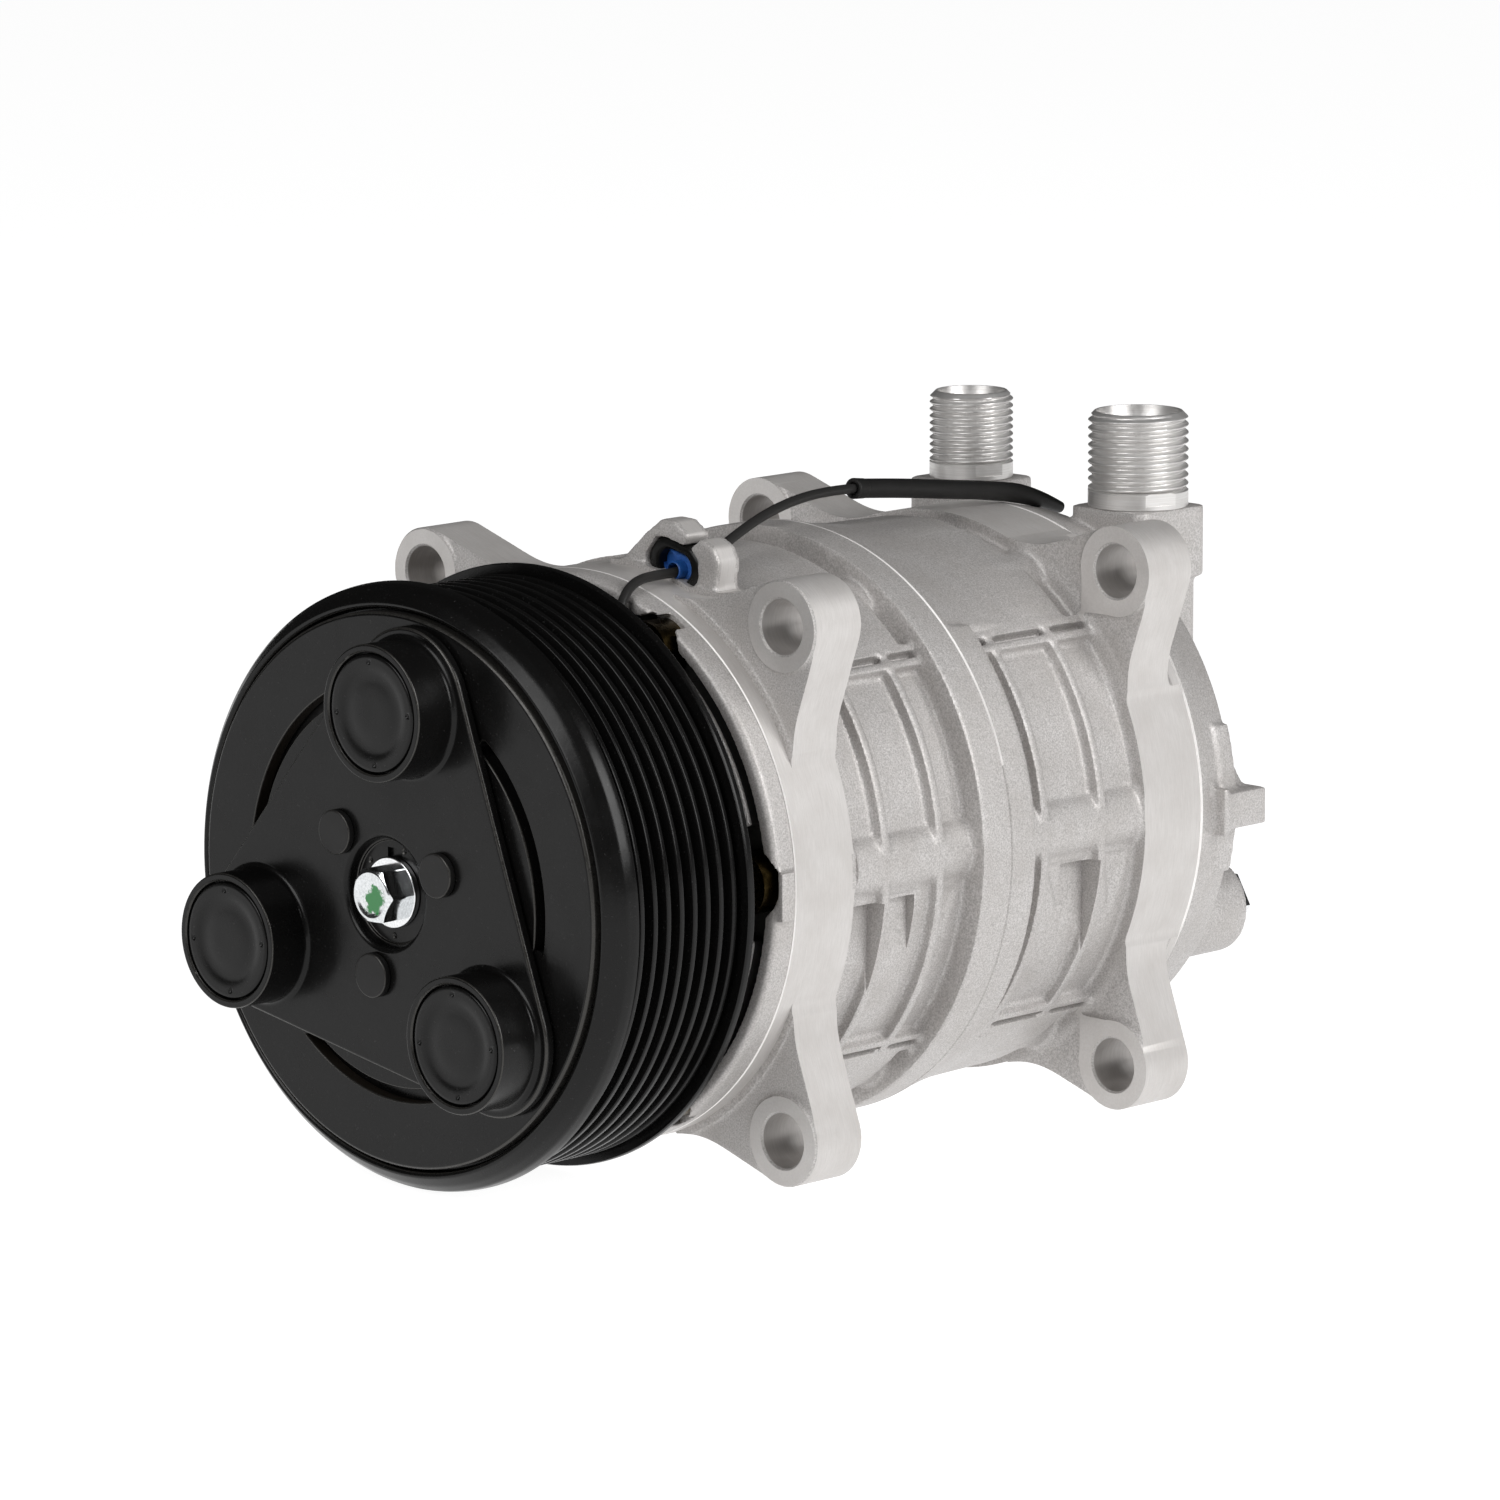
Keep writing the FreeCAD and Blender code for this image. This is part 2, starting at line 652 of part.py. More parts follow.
# ---------------------------------------------------------------- cylinder blocks
def ear_arm(side_x, side_z, start, end):
    """One mounting ear: a round end and the web whose two sides run from it into the barrel."""
    x, z = float(size.ear_spacing_x) / 2, float(size.ear_spacing_z) / 2
    radius = float(size.ear_radius)
    top, side = math.atan(0.33), math.radians(float(size.ear_side_angle))
    top_start = (x - radius * math.sin(top), z + radius * math.cos(top))
    top_foot = (19.0, top_start[1] - (top_start[0] - 19.0) * math.tan(top))
    side_start = (x + radius * math.cos(side), z - radius * math.sin(side))
    side_foot = (side_start[0] - (side_start[1] - 25.0) * math.tan(side), 25.0)
    outline = [top_start, top_foot, (0.0, 0.0), (46.0, 20.0), side_foot, side_start]
    outline = [(side_x * px, side_z * pz) for px, pz in outline]
    web = prism(outline, start, end)
    return web.fuse(solid_rod(radius, start, end, side_x * x, side_z * z))


def ear_places():
    x, z = float(size.ear_spacing_x) / 2, float(size.ear_spacing_z) / 2
    for side_x in (-1, 1):
        for side_z in (-1, 1):
            yield side_x, side_z, side_x * x, side_z * z


def cast_block(side):
    """One half of the cylinder casing, with its ears, ribs, bolt tunnels and bores."""
    front = side == FRONT
    mid = float(size.mid_seam)
    seam = float(size.front_seam if front else size.rear_seam)
    deck = float(size.front_deck if front else size.rear_deck)
    flange_radius = float(size.seam_radius if front else size.rear_seam_radius)
    ear_start = 0.0 if front else float(size.rear_ear_face)
    ear_end = ear_start + float(size.ear_thickness)
    low, high = min(seam, mid), max(seam, mid)
    flange = (seam, ear_end - 0.4) if front else (ear_start + 0.4, seam)

    body = solid_rod(size.barrel_radius, low, high)
    extras = [solid_rod(flange_radius, *flange)] + mid_ring(side)
    for side_x, side_z, x, z in ear_places():
        relief = float(size.ear_face_relief)
        extras.append(ear_arm(side_x, side_z, ear_start + relief, ear_end))
        extras.append(solid_rod(float(size.ear_radius) - 0.4, ear_start, ear_start + relief, x, z))
    for x, z in spots(float(size.bolt_pitch), size.bolt_phase, 6):
        extras.append(solid_rod(size.tunnel_radius, low, high, x, z))
    rib = float(size.rib_radius)
    for opposite in (0, 180):
        extras.append(swept_sector(crown_outline(side, flange), opposite + CROWN_FROM, opposite + CROWN_TO))
        for station in RIB_STATIONS[side]:
            extras.append(sector(50, rib, station - 1.1, station + 1.1, opposite - 43, opposite + 43))
        for angle in BAR_ANGLES:
            for turn in (angle, -angle):
                middle = opposite + turn
                extras.append(sector(50, rib + 0.2, *BAR_SPANS[side], middle - 0.9, middle + 0.9))
    body = body.fuse(extras)
    if front:
        body = body.fuse(grommet_horns())

    # Bores, swash cavity, shaft line, gas passages, bolt holes and ear holes.
    cavity_start = mid - float(size.cavity_half) if front else mid
    tools = [solid_rod(size.recess_radius, *((low - 1, deck) if front else (deck, high + 1)))]
    tools.append(solid_rod(size.cavity_radius, cavity_start, cavity_start + float(size.cavity_half)))
    tools.append(solid_rod(size.shaft_radius + 0.6, low - 1, high + 1))
    needle = deck + 3.0 if front else deck - 21.0
    tools.append(solid_rod(size.needle_outer, needle, needle + float(size.needle_length)))
    for x, z in spots(float(size.bore_pitch), size.bore_phase, 3):
        tools.append(solid_rod(size.bore_radius, low - 1, high + 1, x, z))
    for x, z in spots(float(size.gas_hole_pitch), float(size.bore_phase) + 60.0, 3):
        tools.append(solid_rod(size.gas_hole_radius, low - 1, high + 1, x, z))
    for x, z in spots(float(size.bolt_pitch), size.bolt_phase, 6):
        tools.append(solid_rod(size.bolt_hole_radius, low - 1, high + 1, x, z))
    for side_x, side_z, x, z in ear_places():
        tools.append(solid_rod(size.ear_hole_radius, ear_start - 1, ear_end + 1, x, z))
    tools += side_pockets(side)
    if front:
        tools.append(grommet_body(float(size.grommet_face), 9.0))
    body = body.cut(tools)

    # The bearing walls that stand in the swash cavity behind the thrust bearings.
    wall = (cavity_start - 0.1, mid - 19.6) if front else (mid + 19.6, mid + float(size.cavity_half) + 0.1)
    bearing_wall = solid_rod(18.5, *wall).cut(solid_rod(size.shaft_radius + 0.6, low, high))
    for x, z in spots(float(size.bore_pitch), size.bore_phase, 3):
        bearing_wall = bearing_wall.cut(solid_rod(size.bore_radius, low, high, x, z))
    body = body.fuse(bearing_wall)
    tools = [solid_rod(2.0, mid - 4, mid + 4, x, z) for x, z in dowel_places()]
    if not front:
        groove = solid_rod(float(size.o_ring_outer) + 0.1, mid - 1, mid + float(size.o_ring_depth) + 0.1)
        tools.append(groove.cut(solid_rod(float(size.o_ring_inner) - 0.1, mid - 2, mid + 3)))
    return body.cut(tools).removeSplitter()


def mid_ring(side):
    """The raised ring beside the middle seam; on the rear block it runs only along the two sides."""
    mid, radius = float(size.mid_seam), float(size.ring_radius)
    if side == FRONT:
        return [solid_rod(radius, mid - float(size.front_ring_width), mid)]
    end = mid + float(size.rear_ring_width)
    return [sector(50, radius, mid, end, opposite - CROWN_FROM, opposite + CROWN_FROM)
            for opposite in (0, 180)]


def crown_outline(side, flange):
    """The smooth top and bottom of a block, which end in a shoulder short of the next ring or flange."""
    mid, crown, shoulder = float(size.mid_seam), float(size.crown_radius), float(size.crown_shoulder)
    if side == FRONT:
        end = mid - float(size.front_ring_width) - shoulder
        return [(50, flange[1]), (crown, flange[1]), (crown, end - 0.8), (crown - 0.8, end), (50, end)]
    end, ring_end = flange[0] - shoulder - 1.4, mid + float(size.rear_ring_width)
    return [(50, mid), (float(size.ring_radius), mid), (float(size.ring_radius) - 0.5, mid + 2.5),
            (crown + 1.0, ring_end + 2.5), (crown, ring_end + 11.0), (crown - 0.4, end - 0.8),
            (crown - 1.2, end), (50, end)]


def dowel_places():
    return list(spots(53.4, float(size.bolt_phase) + 90.0, 3))[:2]


def side_pockets(side):
    """Cored triangular pockets below the side bolt tunnels, between the ribs."""
    if side == FRONT:
        triangles = [((24.2, -4.5), (33.5, -4.5), (26.5, -19.0)), ((39.5, -5.5), (45.0, -5.5), (40.5, -17.0))]
    else:
        triangles = [((70.5, -5.0), (82.5, -5.0), (78.0, -20.0)), ((87.5, -5.0), (95.0, -5.0), (92.0, -18.0))]
    pockets = []
    for triangle in triangles:
        for first, depth in ((51.2, 10.0), (-61.2, 10.0)):
            corners = [Vector(first, y, z) for y, z in triangle]
            face = Part.Face(Part.makePolygon(corners + corners[:1]))
            pockets.append(face.extrude(Vector(depth, 0, 0)))
    return pockets


def beside_grommet(along, out):
    """A point (x, z) given along the rim, clockwise, and outwards from the middle of the grommet."""
    heading = math.radians(float(size.grommet_angle))
    reach = float(size.grommet_pitch) + out
    return (reach * math.cos(heading) + along * math.sin(heading),
            reach * math.sin(heading) - along * math.cos(heading))


def grommet_form(half_length, half_height, start, end):
    """A stadium round the middle of the grommet, along the shaft direction."""
    straight = half_length - half_height
    ends = [solid_rod(half_height, start, end, *beside_grommet(along, 0.0))
            for along in (-straight, straight)]
    corners = [(-straight, -half_height), (straight, -half_height), (straight, half_height),
               (-straight, half_height)]
    return prism([beside_grommet(*corner) for corner in corners], start, end).fuse(ends).removeSplitter()


def grommet_body(start, depth):
    half_length, half_height = float(size.grommet_half_length), float(size.grommet_half_height)
    return grommet_form(half_length, half_height, start, start + depth)


def grommet_horns():
    """Two cast horns on the front block that hold the lead grommet."""
    left = [(-14.4, -5.0), (-6.0, -5.0), (-7.4, 0.0), (-5.6, 4.2), (-3.0, 4.9), (1.8, 4.9), (2.4, 6.9),
            (-1.4, 8.2), (-4.4, 7.6), (-8.0, 3.4), (-11.4, -1.4)]
    right = [(6.2, -5.0), (7.5, 0.0), (6.6, 3.6), (4.4, 5.2), (6.6, 7.2), (9.6, 6.8), (11.6, 4.8),
             (12.4, -5.0)]
    front = float(size.grommet_face) - 0.6
    return [prism([beside_grommet(*corner) for corner in left], front, front + 5.5),
            prism([beside_grommet(*corner) for corner in right], front, front + 5.0)]


def make_blocks():
    node("front_block", shaped("front_block_casting", cast_block(FRONT)))
    node("rear_block", shaped("rear_block_casting", cast_block(REAR)))
    mid = size.mid_seam
    dowels = [rod("dowel", 1.98, mid - 3.8, mid + 3.8, x, z) for x, z in dowel_places()]
    node("block_dowels", group("dowels", dowels))
    node("block_o_ring", ring("o_ring", size.o_ring_inner, size.o_ring_outer, mid, mid + size.o_ring_depth))


def plate_stack(side):
    """Stations of the reed sheet, valve plate and gasket, from the cylinders outwards."""
    if side == FRONT:
        deck, seam, sign = float(size.front_deck), float(size.front_seam), -1
    else:
        deck, seam, sign = float(size.rear_deck), float(size.rear_seam), 1
    gasket = 0.6
    return (deck, deck + sign * 0.4), (deck + sign * 0.4, seam - sign * gasket), (seam - sign * gasket, seam)


def make_valves():
    for side in (FRONT, REAR):
        stations = [(min(pair), max(pair)) for pair in plate_stack(side)]
        sign = -1 if side == FRONT else 1
        for kind, (low, high) in zip(("suction_reeds", "valve_plate", "head_gasket"), stations):
            sheet_body = solid_rod(size.plate_radius, low, high).cut(solid_rod(14.5, low - 1, high + 1))
            tools = [solid_rod(size.bolt_hole_radius, low - 1, high + 1, x, z)
                     for x, z in spots(float(size.bolt_pitch), size.bolt_phase, 6)]
            if kind == "head_gasket":
                tools += chambers(20.0, 29.5, low - 1, high + 1) + chambers(32.5, 43.0, low - 1, high + 1)
            for x, z in spots(float(size.bore_pitch), size.bore_phase, 3):
                scale = 1.0 / float(size.bore_pitch)
                inner = (x * scale * 26.0, z * scale * 26.0)
                outer = (x * scale * 44.0, z * scale * 44.0)
                if kind == "valve_plate":
                    tools += [solid_rod(3.0, low - 1, high + 1, *inner),
                              solid_rod(3.6, low - 1, high + 1, *outer)]
                if kind == "suction_reeds":
                    petal = solid_rod(6.2, low - 1, high + 1, *outer)
                    petal = petal.cut(solid_rod(5.2, low - 2, high + 2, *outer))
                    tools += [petal.cut(solid_rod(5.0, low - 2, high + 2, x * 0.98, z * 0.98)),
                              solid_rod(3.2, low - 1, high + 1, *inner)]
            if kind != "head_gasket":
                for x, z in spots(float(size.gas_hole_pitch), float(size.bore_phase) + 60.0, 3):
                    tools.append(solid_rod(size.gas_hole_radius, low - 1, high + 1, x, z))
            node("%s_%s" % (side, kind), shaped("%s_%s_sheet" % (side, kind), sheet_body.cut(tools)))
        seam = float(size.front_seam if side == FRONT else size.rear_seam)
        reeds = []
        for x, z in spots(25.0, size.bore_phase, 3):
            start = min(seam, seam + sign * 1.6)
            reeds.append(solid_rod(3.9, start, start + 1.6, x, z))
        node(side + "_discharge_reeds", shaped(side + "_discharge_discs", Part.Compound(reeds)))


def make_bolts():
    bolts = []
    for x, z in spots(size.bolt_pitch, size.bolt_phase, 6):
        seat = size.bolt_seat
        head = rod("bolt_cap", size.bolt_head_radius, seat - size.bolt_head_height, seat, x, z)
        socket = doc.addObject("Part::Prism", "bolt_socket")
        socket.Polygon = 6
        socket.Circumradius = 3.4
        socket.Height = 3.5
        socket.Placement.Rotation = FreeCAD.Rotation(Vector(1, 0, 0), -90)
        place(socket, x, seat - size.bolt_head_height - 0.01, z)
        shank = rod("bolt_stem", size.bolt_radius, seat, size.head_rim - 6.0, x, z)
        bolts.append(fuse("through_bolt", [cut("bolt_cap_cut", head, [socket]), shank]))
    node("through_bolts", group("bolts", bolts))


# ---------------------------------------------------------------- heads and fittings
def chambers(inner, outer, start, end):
    """Six gas chambers in a ring, with a wall between each pair."""
    return [sector(inner, outer, start, end, 60 * k + CHAMBER_FROM, 60 * k + CHAMBER_TO) for k in range(6)]


def make_front_head():
    seam = float(size.front_seam)
    coil_seat = float(size.pulley_rear) + 0.9
    bearing_back = float(size.bearing_front + size.bearing_width) + 0.02
    outline = [
        (float(size.seam_radius), seam), (float(size.seam_radius), -8.3), (56.5, -9.0),
        (51.5, -9.6), (46.0, coil_seat + 1.5), (46.0, coil_seat), (18.0, coil_seat), (18.0, bearing_back),
        (17.48, bearing_back), (17.48, -48.0), (13.3, -48.0), (13.3, -25.9), (10.6, -25.9),
        (10.6, seam),
    ]
    corners = [Vector(r, y, 0) for r, y in outline]
    casting = Part.Face(Part.makePolygon(corners + corners[:1])).revolve(Vector(), Vector(0, 1, 0), 360)
    tab = prism([(54.0, -5.0), (58.6, -5.0), (58.6, 4.6), (54.0, 4.6)], -8.6, seam)
    casting = casting.fuse(tab)
    tools = chambers(20.0, 29.5, -11.0, seam + 1) + chambers(32.5, 43.0, -11.0, seam + 1)
    groove_floor, groove_outer = float(size.head_groove_floor), float(size.head_groove_outer)
    tools.append(solid_rod(groove_outer, -20.0, groove_floor).cut(
        solid_rod(size.head_groove_inner, -21.0, groove_floor + 1.0)))
    for index in range(6):
        turn = float(size.bolt_phase) + 60.0 * index
        tools.append(sector(float(size.head_recess_inner), groove_outer, -20.0, groove_floor,
                            turn - HEAD_RECESS_HALF_TURN, turn + HEAD_RECESS_HALF_TURN))
    for x, z in spots(float(size.bolt_pitch), size.bolt_phase, 6):
        tools.append(solid_rod(7.4, -20.0, float(size.bolt_seat), x, z))
        tools.append(solid_rod(size.bolt_hole_radius, -6.0, 0.0, x, z))
    clip = solid_rod(14.0, -35.7, -34.2).cut(solid_rod(13.0, -36, -34))
    bearing_front = float(size.bearing_front)
    nose_groove = solid_rod(19.0, bearing_front - 1.55, bearing_front).cut(
        solid_rod(float(size.bearing_inner) - 0.75, bearing_front - 2, bearing_front + 1))
    boot_notch = solid_rod(float(size.boot_radius) + 0.2, -17.0, float(size.boot_end) + 0.2,
                           *next(spots(float(size.boot_pitch), size.boot_angle, 1)))
    casting = casting.cut(tools + [clip, nose_groove, boot_notch])
    node("front_head", shaped("front_head_casting", casting.removeSplitter()))


def rounded_block(x, y, z, radius):
    box = Part.makeBox(x[1] - x[0], y[1] - y[0], z[1] - z[0], Vector(x[0], y[0], z[0]))
    uprights = [edge for edge in box.Edges if abs(edge.tangentAt(edge.FirstParameter).z) > 0.9]
    return box.makeFillet(radius, uprights)


def make_rear_head():
    seam, rim = float(size.rear_seam), float(size.head_rim)
    seam_radius, end_radius = float(size.rear_seam_radius), float(size.rim_end_radius)
    outline = [(0, seam), (seam_radius, seam), (seam_radius - 0.2, seam + 2.0), (end_radius, rim - 0.8),
               (end_radius - 1.2, rim), (36.0, rim + 1.0), (33.0, rim + 9.5), (31.0, rim + 11.0),
               (0, rim + 11.0)]
    corners = [Vector(r, y, 0) for r, y in outline]
    casting = Part.Face(Part.makePolygon(corners + corners[:1])).revolve(Vector(), Vector(0, 1, 0), 360)
    offset, station = float(size.port_offset), float(size.port_station)
    parts = []
    for sign, half, top in ((-1, 9.7, float(size.small_collar)), (1, 10.3, float(size.large_collar))):
        x = sign * offset
        parts.append(rounded_block((x - half, x + half), (station - half, station + half), (43.0, top), 2.6))
        parts.append(rounded_block((x - half + 1.4, x + half - 1.4), (station - 11.0, station + half - 1.0),
                                   (12.0, 43.1), 3.0))
    # side lug with its front pad, its gusset and the raised strip on the head's side
    parts.append(prism([(46.0, -4.0), (60.6, -4.0), (60.6, 3.6), (46.0, 3.6)], 118.6, 131.4))
    parts.append(prism([(54.0, -5.2), (61.0, -5.2), (61.0, 4.7), (54.0, 4.7)], 118.2, 119.8))
    parts.append(prism([(46.0, 3.0), (57.0, 3.0), (52.0, 10.5), (46.0, 12.0)], 121.0, 129.0))
    parts.append(sector(50.0, 57.6, 121.0, rim - 0.9, -14.0, 17.0))
    # round boss low on the right, with the relief valve in its rear face
    parts.append(solid_rod(9.9, rim - 6.0, 140.0, 38.4, -25.0))
    for part_shape in parts:
        casting = casting.fuse(part_shape)
    tools = chambers(32.5, 43.5, seam - 1, rim - 3.6)
    tools.append(solid_rod(29.5, seam - 1, rim + 6.0))
    for x, z in spots(float(size.bolt_pitch), size.bolt_phase, 6):
        tools.append(solid_rod(size.bolt_radius, seam - 1, rim - 5.0, x, z))
    for sign, top, wide in ((-1, float(size.small_collar), 7.0), (1, float(size.large_collar), 8.6)):
        upward = Vector(0, 0, 1)
        tools.append(Part.makeCylinder(wide, 12.0, Vector(sign * offset, station, top - 12.0), upward))
        tools.append(Part.makeCylinder(5.5, 40.0, Vector(sign * offset, station, 18.0), upward))
        tools.append(Part.makeCylinder(4.5, 12.0, Vector(sign * 21.0, station - 12.0, 20.0), Vector(0, 1, 0)))
    tools.append(solid_rod(5.0, rim, 141.0, 38.4, -25.0))
    casting = casting.cut(tools)
    node("rear_head", shaped("rear_head_casting", casting.removeSplitter()))
    stem = rod("relief_stem", 4.98, rim + 1.0, 140.0, 38.4, -25.0)
    hexagon = doc.addObject("Part::Prism", "relief_hex")
    hexagon.Polygon = 6
    hexagon.Circumradius = 7.0
    hexagon.Height = 4.0
    hexagon.Placement.Rotation = FreeCAD.Rotation(Vector(1, 0, 0), -90)
    place(hexagon, 38.4, 140.0, -25.0)
    node("relief_valve", fuse("relief_valve_solid", [stem, hexagon]))


def fitting(name, x, thread, bore, shank, collar_bottom, pitch):
    """A vertical threaded fitting: collar, ridged thread and a chamfered hollow top."""
    top, station = float(size.fitting_top), float(size.port_station)
    outline = [(bore, collar_bottom - 8.0), (shank, collar_bottom - 8.0), (shank, collar_bottom),
               (thread, collar_bottom), (thread, collar_bottom + 3.6), (thread - 0.8, collar_bottom + 4.4)]
    first = top - 1.0 - pitch * THREAD_TURNS
    for index in range(THREAD_TURNS):
        base, valley = first + pitch * index, thread - 0.8
        outline += [(valley, base + 0.15 * pitch), (thread, base + 0.5 * pitch)]
        outline.append((valley, base + 0.85 * pitch))
    outline += [(thread - 0.9, top - 0.6), (thread - 1.4, top), (bore + 1.4, top), (bore, top - 1.8)]
    corners = [Vector(x + r, station, h) for r, h in outline]
    face = Part.Face(Part.makePolygon(corners + corners[:1]))
    body = face.revolve(Vector(x, station, 0), Vector(0, 0, 1), 360)
    # wrench flat on the collar, at the side away from the clutch
    flat = Part.makeBox(6.0, 8.0, 2.6, Vector(thread - 0.55, -4.0, 0))
    flat.rotate(Vector(), Vector(0, 0, 1), -20)
    flat.translate(Vector(x, station, collar_bottom + 1.6))
    return node(name, shaped(name + "_turned", body.cut(flat)))


def make_fittings():
    offset = float(size.port_offset)
    small, large = float(size.small_thread), float(size.large_thread)
    fitting("discharge_fitting", -offset, small, 5.6, 7.0, float(size.small_collar), SMALL_PITCH)
    fitting("suction_fitting", offset, large, 7.2, 8.6, float(size.large_collar), LARGE_PITCH)


# ---------------------------------------------------------------- lead
LEAD_ROUTE = [
    (20.6, -15.2, 43.6), (20.3, -15.2, 47.7), (19.2, -13.4, 52.1), (17.6, -9.9, 55.5), (16.3, -5.3, 57.1),
    (15.6, 0.5, 57.3), (15.3, 7.5, 57.1), (15.1, 14.4, 58.4), (13.9, 22.6, 61.7), (11.4, 35.0, 65.2),
    (8.6, 49.0, 67.0), (6.4, 63.0, 66.8), (5.2, 79.0, 65.2), (4.0, 96.0, 63.0), (3.0, 111.0, 61.1),
    (2.5, 123.0, 58.9), (2.2, 132.5, 55.2),
]
SLEEVE_FROM = 11
LEAD_IN_GROMMET = (15.25, 57.6)


def rounded_route(points):
    """Straight runs joined by tangent arcs, each as large as its two runs allow."""
    corners = [Vector(*point) for point in points]
    edges, radii, here = [], [], corners[0]
    for before, corner, after in zip(corners, corners[1:], corners[2:]):
        back, ahead = before - corner, after - corner
        shorter = min(back.Length, ahead.Length)
        half_turn = (math.pi - back.getAngle(ahead)) / 2
        trim = 0.45 * shorter
        radii.append(trim / math.tan(half_turn))
        back.normalize()
        ahead.normalize()
        first, last = corner + back * trim, corner + ahead * trim
        inward = (back + ahead).normalize()
        centre = corner + inward * (radii[-1] / math.cos(half_turn))
        middle = centre + (corner - centre).normalize() * radii[-1]
        edges.append(Part.LineSegment(here, first).toShape())
        edges.append(Part.Arc(first, middle, last).toShape())
        here = last
    edges.append(Part.LineSegment(here, corners[-1]).toShape())
    return edges, radii


def tube_along(edges, radius):
    wire = Part.Wire(edges)
    start = edges[0].Vertexes[0].Point
    heading = edges[0].tangentAt(edges[0].FirstParameter)
    circle = Part.Wire(Part.makeCircle(radius, start, heading))
    return wire.makePipeShell([circle], True, False), sum(edge.Length for edge in edges)


def make_lead():
    edges, radii = rounded_route(LEAD_ROUTE)
    print("lead bend radii, mm:", [round(value, 1) for value in radii])
    # The sleeve begins where the arc at its first route point ends.
    split = 2 * SLEEVE_FROM
    pieces = (("lead_wire", edges[:split], float(size.wire_radius)),
              ("wire_sleeve", edges[split:], float(size.sleeve_radius)))
    for name, run, radius in pieces:
        tube, length = tube_along(run, radius)
        print(name, "length", round(length, 1), "volume ratio",
              round(tube.Volume / (math.pi * radius * radius * length), 4))
        node(name, shaped(name + "_tube", tube))

    x, z = next(spots(size.boot_pitch, size.boot_angle, 1))
    node("coil_lead_boot", rod("boot", size.boot_radius, size.pulley_rear + 0.9, size.boot_end, x, z))

    # The grommet's face has a window in which the two-hole insert sits.
    face, depth = float(size.grommet_face), float(size.grommet_depth)
    window = grommet_form(5.2, 3.2, face - 1.0, face + 3.2)
    wire_hole = solid_rod(1.55, face - 2.0, face + depth + 2.0, *LEAD_IN_GROMMET)
    node("lead_grommet", shaped("grommet_rubber", grommet_body(face, depth).cut([window, wire_hole])))
    spare_hole = solid_rod(1.3, face - 2.0, face + 2.4, *beside_grommet(-3.2, 0.2))
    insert = grommet_form(5.1, 3.1, face + 1.0, face + 3.1).cut([wire_hole, spare_hole])
    node("grommet_insert", shaped("insert_blue", insert))


# ---------------------------------------------------------------- build and write
def check_and_export():
    doc.recompute()
    for obj in doc.Objects:
        if "Invalid" in obj.State or "Error" in obj.State:
            raise RuntimeError("failed object: " + obj.Name)
    for obj in NODES:
        if obj.Shape.isNull() or not obj.Shape.isValid():
            raise RuntimeError("bad shape: " + obj.Label)
    os.makedirs("parts", exist_ok=True)
    for obj in NODES:
        obj.Shape.exportStep("parts/%s.step" % obj.Label)
        print("%-24s solids %2d  volume %10.1f" % (obj.Label, len(obj.Shape.Solids), obj.Shape.Volume))


make_pulley()
make_bearing()
make_coil()
make_hub()
make_armature()
make_centre_bolt()
make_shaft()
make_pistons()
make_blocks()
make_valves()
make_bolts()
make_front_head()
make_rear_head()
make_fittings()
make_lead()
check_and_export()
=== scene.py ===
import math

import bmesh
import bpy
import numpy as np
from mathutils import Matrix, Vector
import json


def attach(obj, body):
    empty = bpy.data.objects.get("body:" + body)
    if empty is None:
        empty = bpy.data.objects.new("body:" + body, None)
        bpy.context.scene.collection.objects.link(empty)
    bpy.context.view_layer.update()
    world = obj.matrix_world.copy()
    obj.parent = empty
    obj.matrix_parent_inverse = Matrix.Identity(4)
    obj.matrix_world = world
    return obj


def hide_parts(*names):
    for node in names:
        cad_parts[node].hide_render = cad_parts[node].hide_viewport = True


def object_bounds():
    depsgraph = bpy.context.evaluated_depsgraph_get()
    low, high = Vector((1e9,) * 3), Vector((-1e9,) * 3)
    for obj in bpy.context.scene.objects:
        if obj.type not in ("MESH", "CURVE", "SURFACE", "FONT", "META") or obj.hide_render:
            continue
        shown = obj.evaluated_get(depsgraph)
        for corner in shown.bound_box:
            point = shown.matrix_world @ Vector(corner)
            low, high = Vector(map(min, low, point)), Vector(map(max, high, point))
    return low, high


# Looks of a swash-plate compressor with an electromagnetic clutch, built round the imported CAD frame.
# Sizes here are in millimetres and are scaled to metres when a mesh is made.

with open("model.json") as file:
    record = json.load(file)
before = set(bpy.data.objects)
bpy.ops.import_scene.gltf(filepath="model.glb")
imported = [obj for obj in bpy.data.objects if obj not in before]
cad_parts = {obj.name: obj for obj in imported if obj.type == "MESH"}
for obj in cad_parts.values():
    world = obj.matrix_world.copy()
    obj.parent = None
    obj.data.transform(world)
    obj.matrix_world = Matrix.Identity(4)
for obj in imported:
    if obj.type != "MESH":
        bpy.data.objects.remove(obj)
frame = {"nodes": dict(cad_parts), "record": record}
cad_low, cad_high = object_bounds()
MM = 0.001


# ---------------------------------------------------------------- sizes shared by the pieces
FRONT_SEAM, MID_SEAM, REAR_SEAM = -3.5, 54.6, 114.0
SEAM_RADIUS, REAR_SEAM_RADIUS = 57.3, 58.2
BARREL_RADIUS, RIB_RADIUS, TUNNEL_FOOT = 55.2, 57.5, -5.7
EAR_X, EAR_Z, EAR_RADIUS, EAR_HOLE = 50.0, 50.8, 9.2, 5.5
EAR_TOP_ANGLE, EAR_SIDE_ANGLE = math.atan(0.33), math.radians(19.6)
EAR_THICKNESS, EAR_RELIEF, REAR_EAR_FACE = 12.8, 0.7, 96.4
RING_RADIUS, FRONT_RING_WIDTH, REAR_RING_WIDTH = 60.6, 8.2, 7.2
RIM_RADIUS, PULLEY_REAR, LIP_START, LIP_RADIUS = 59.85, -17.4, -49.6, 55.3
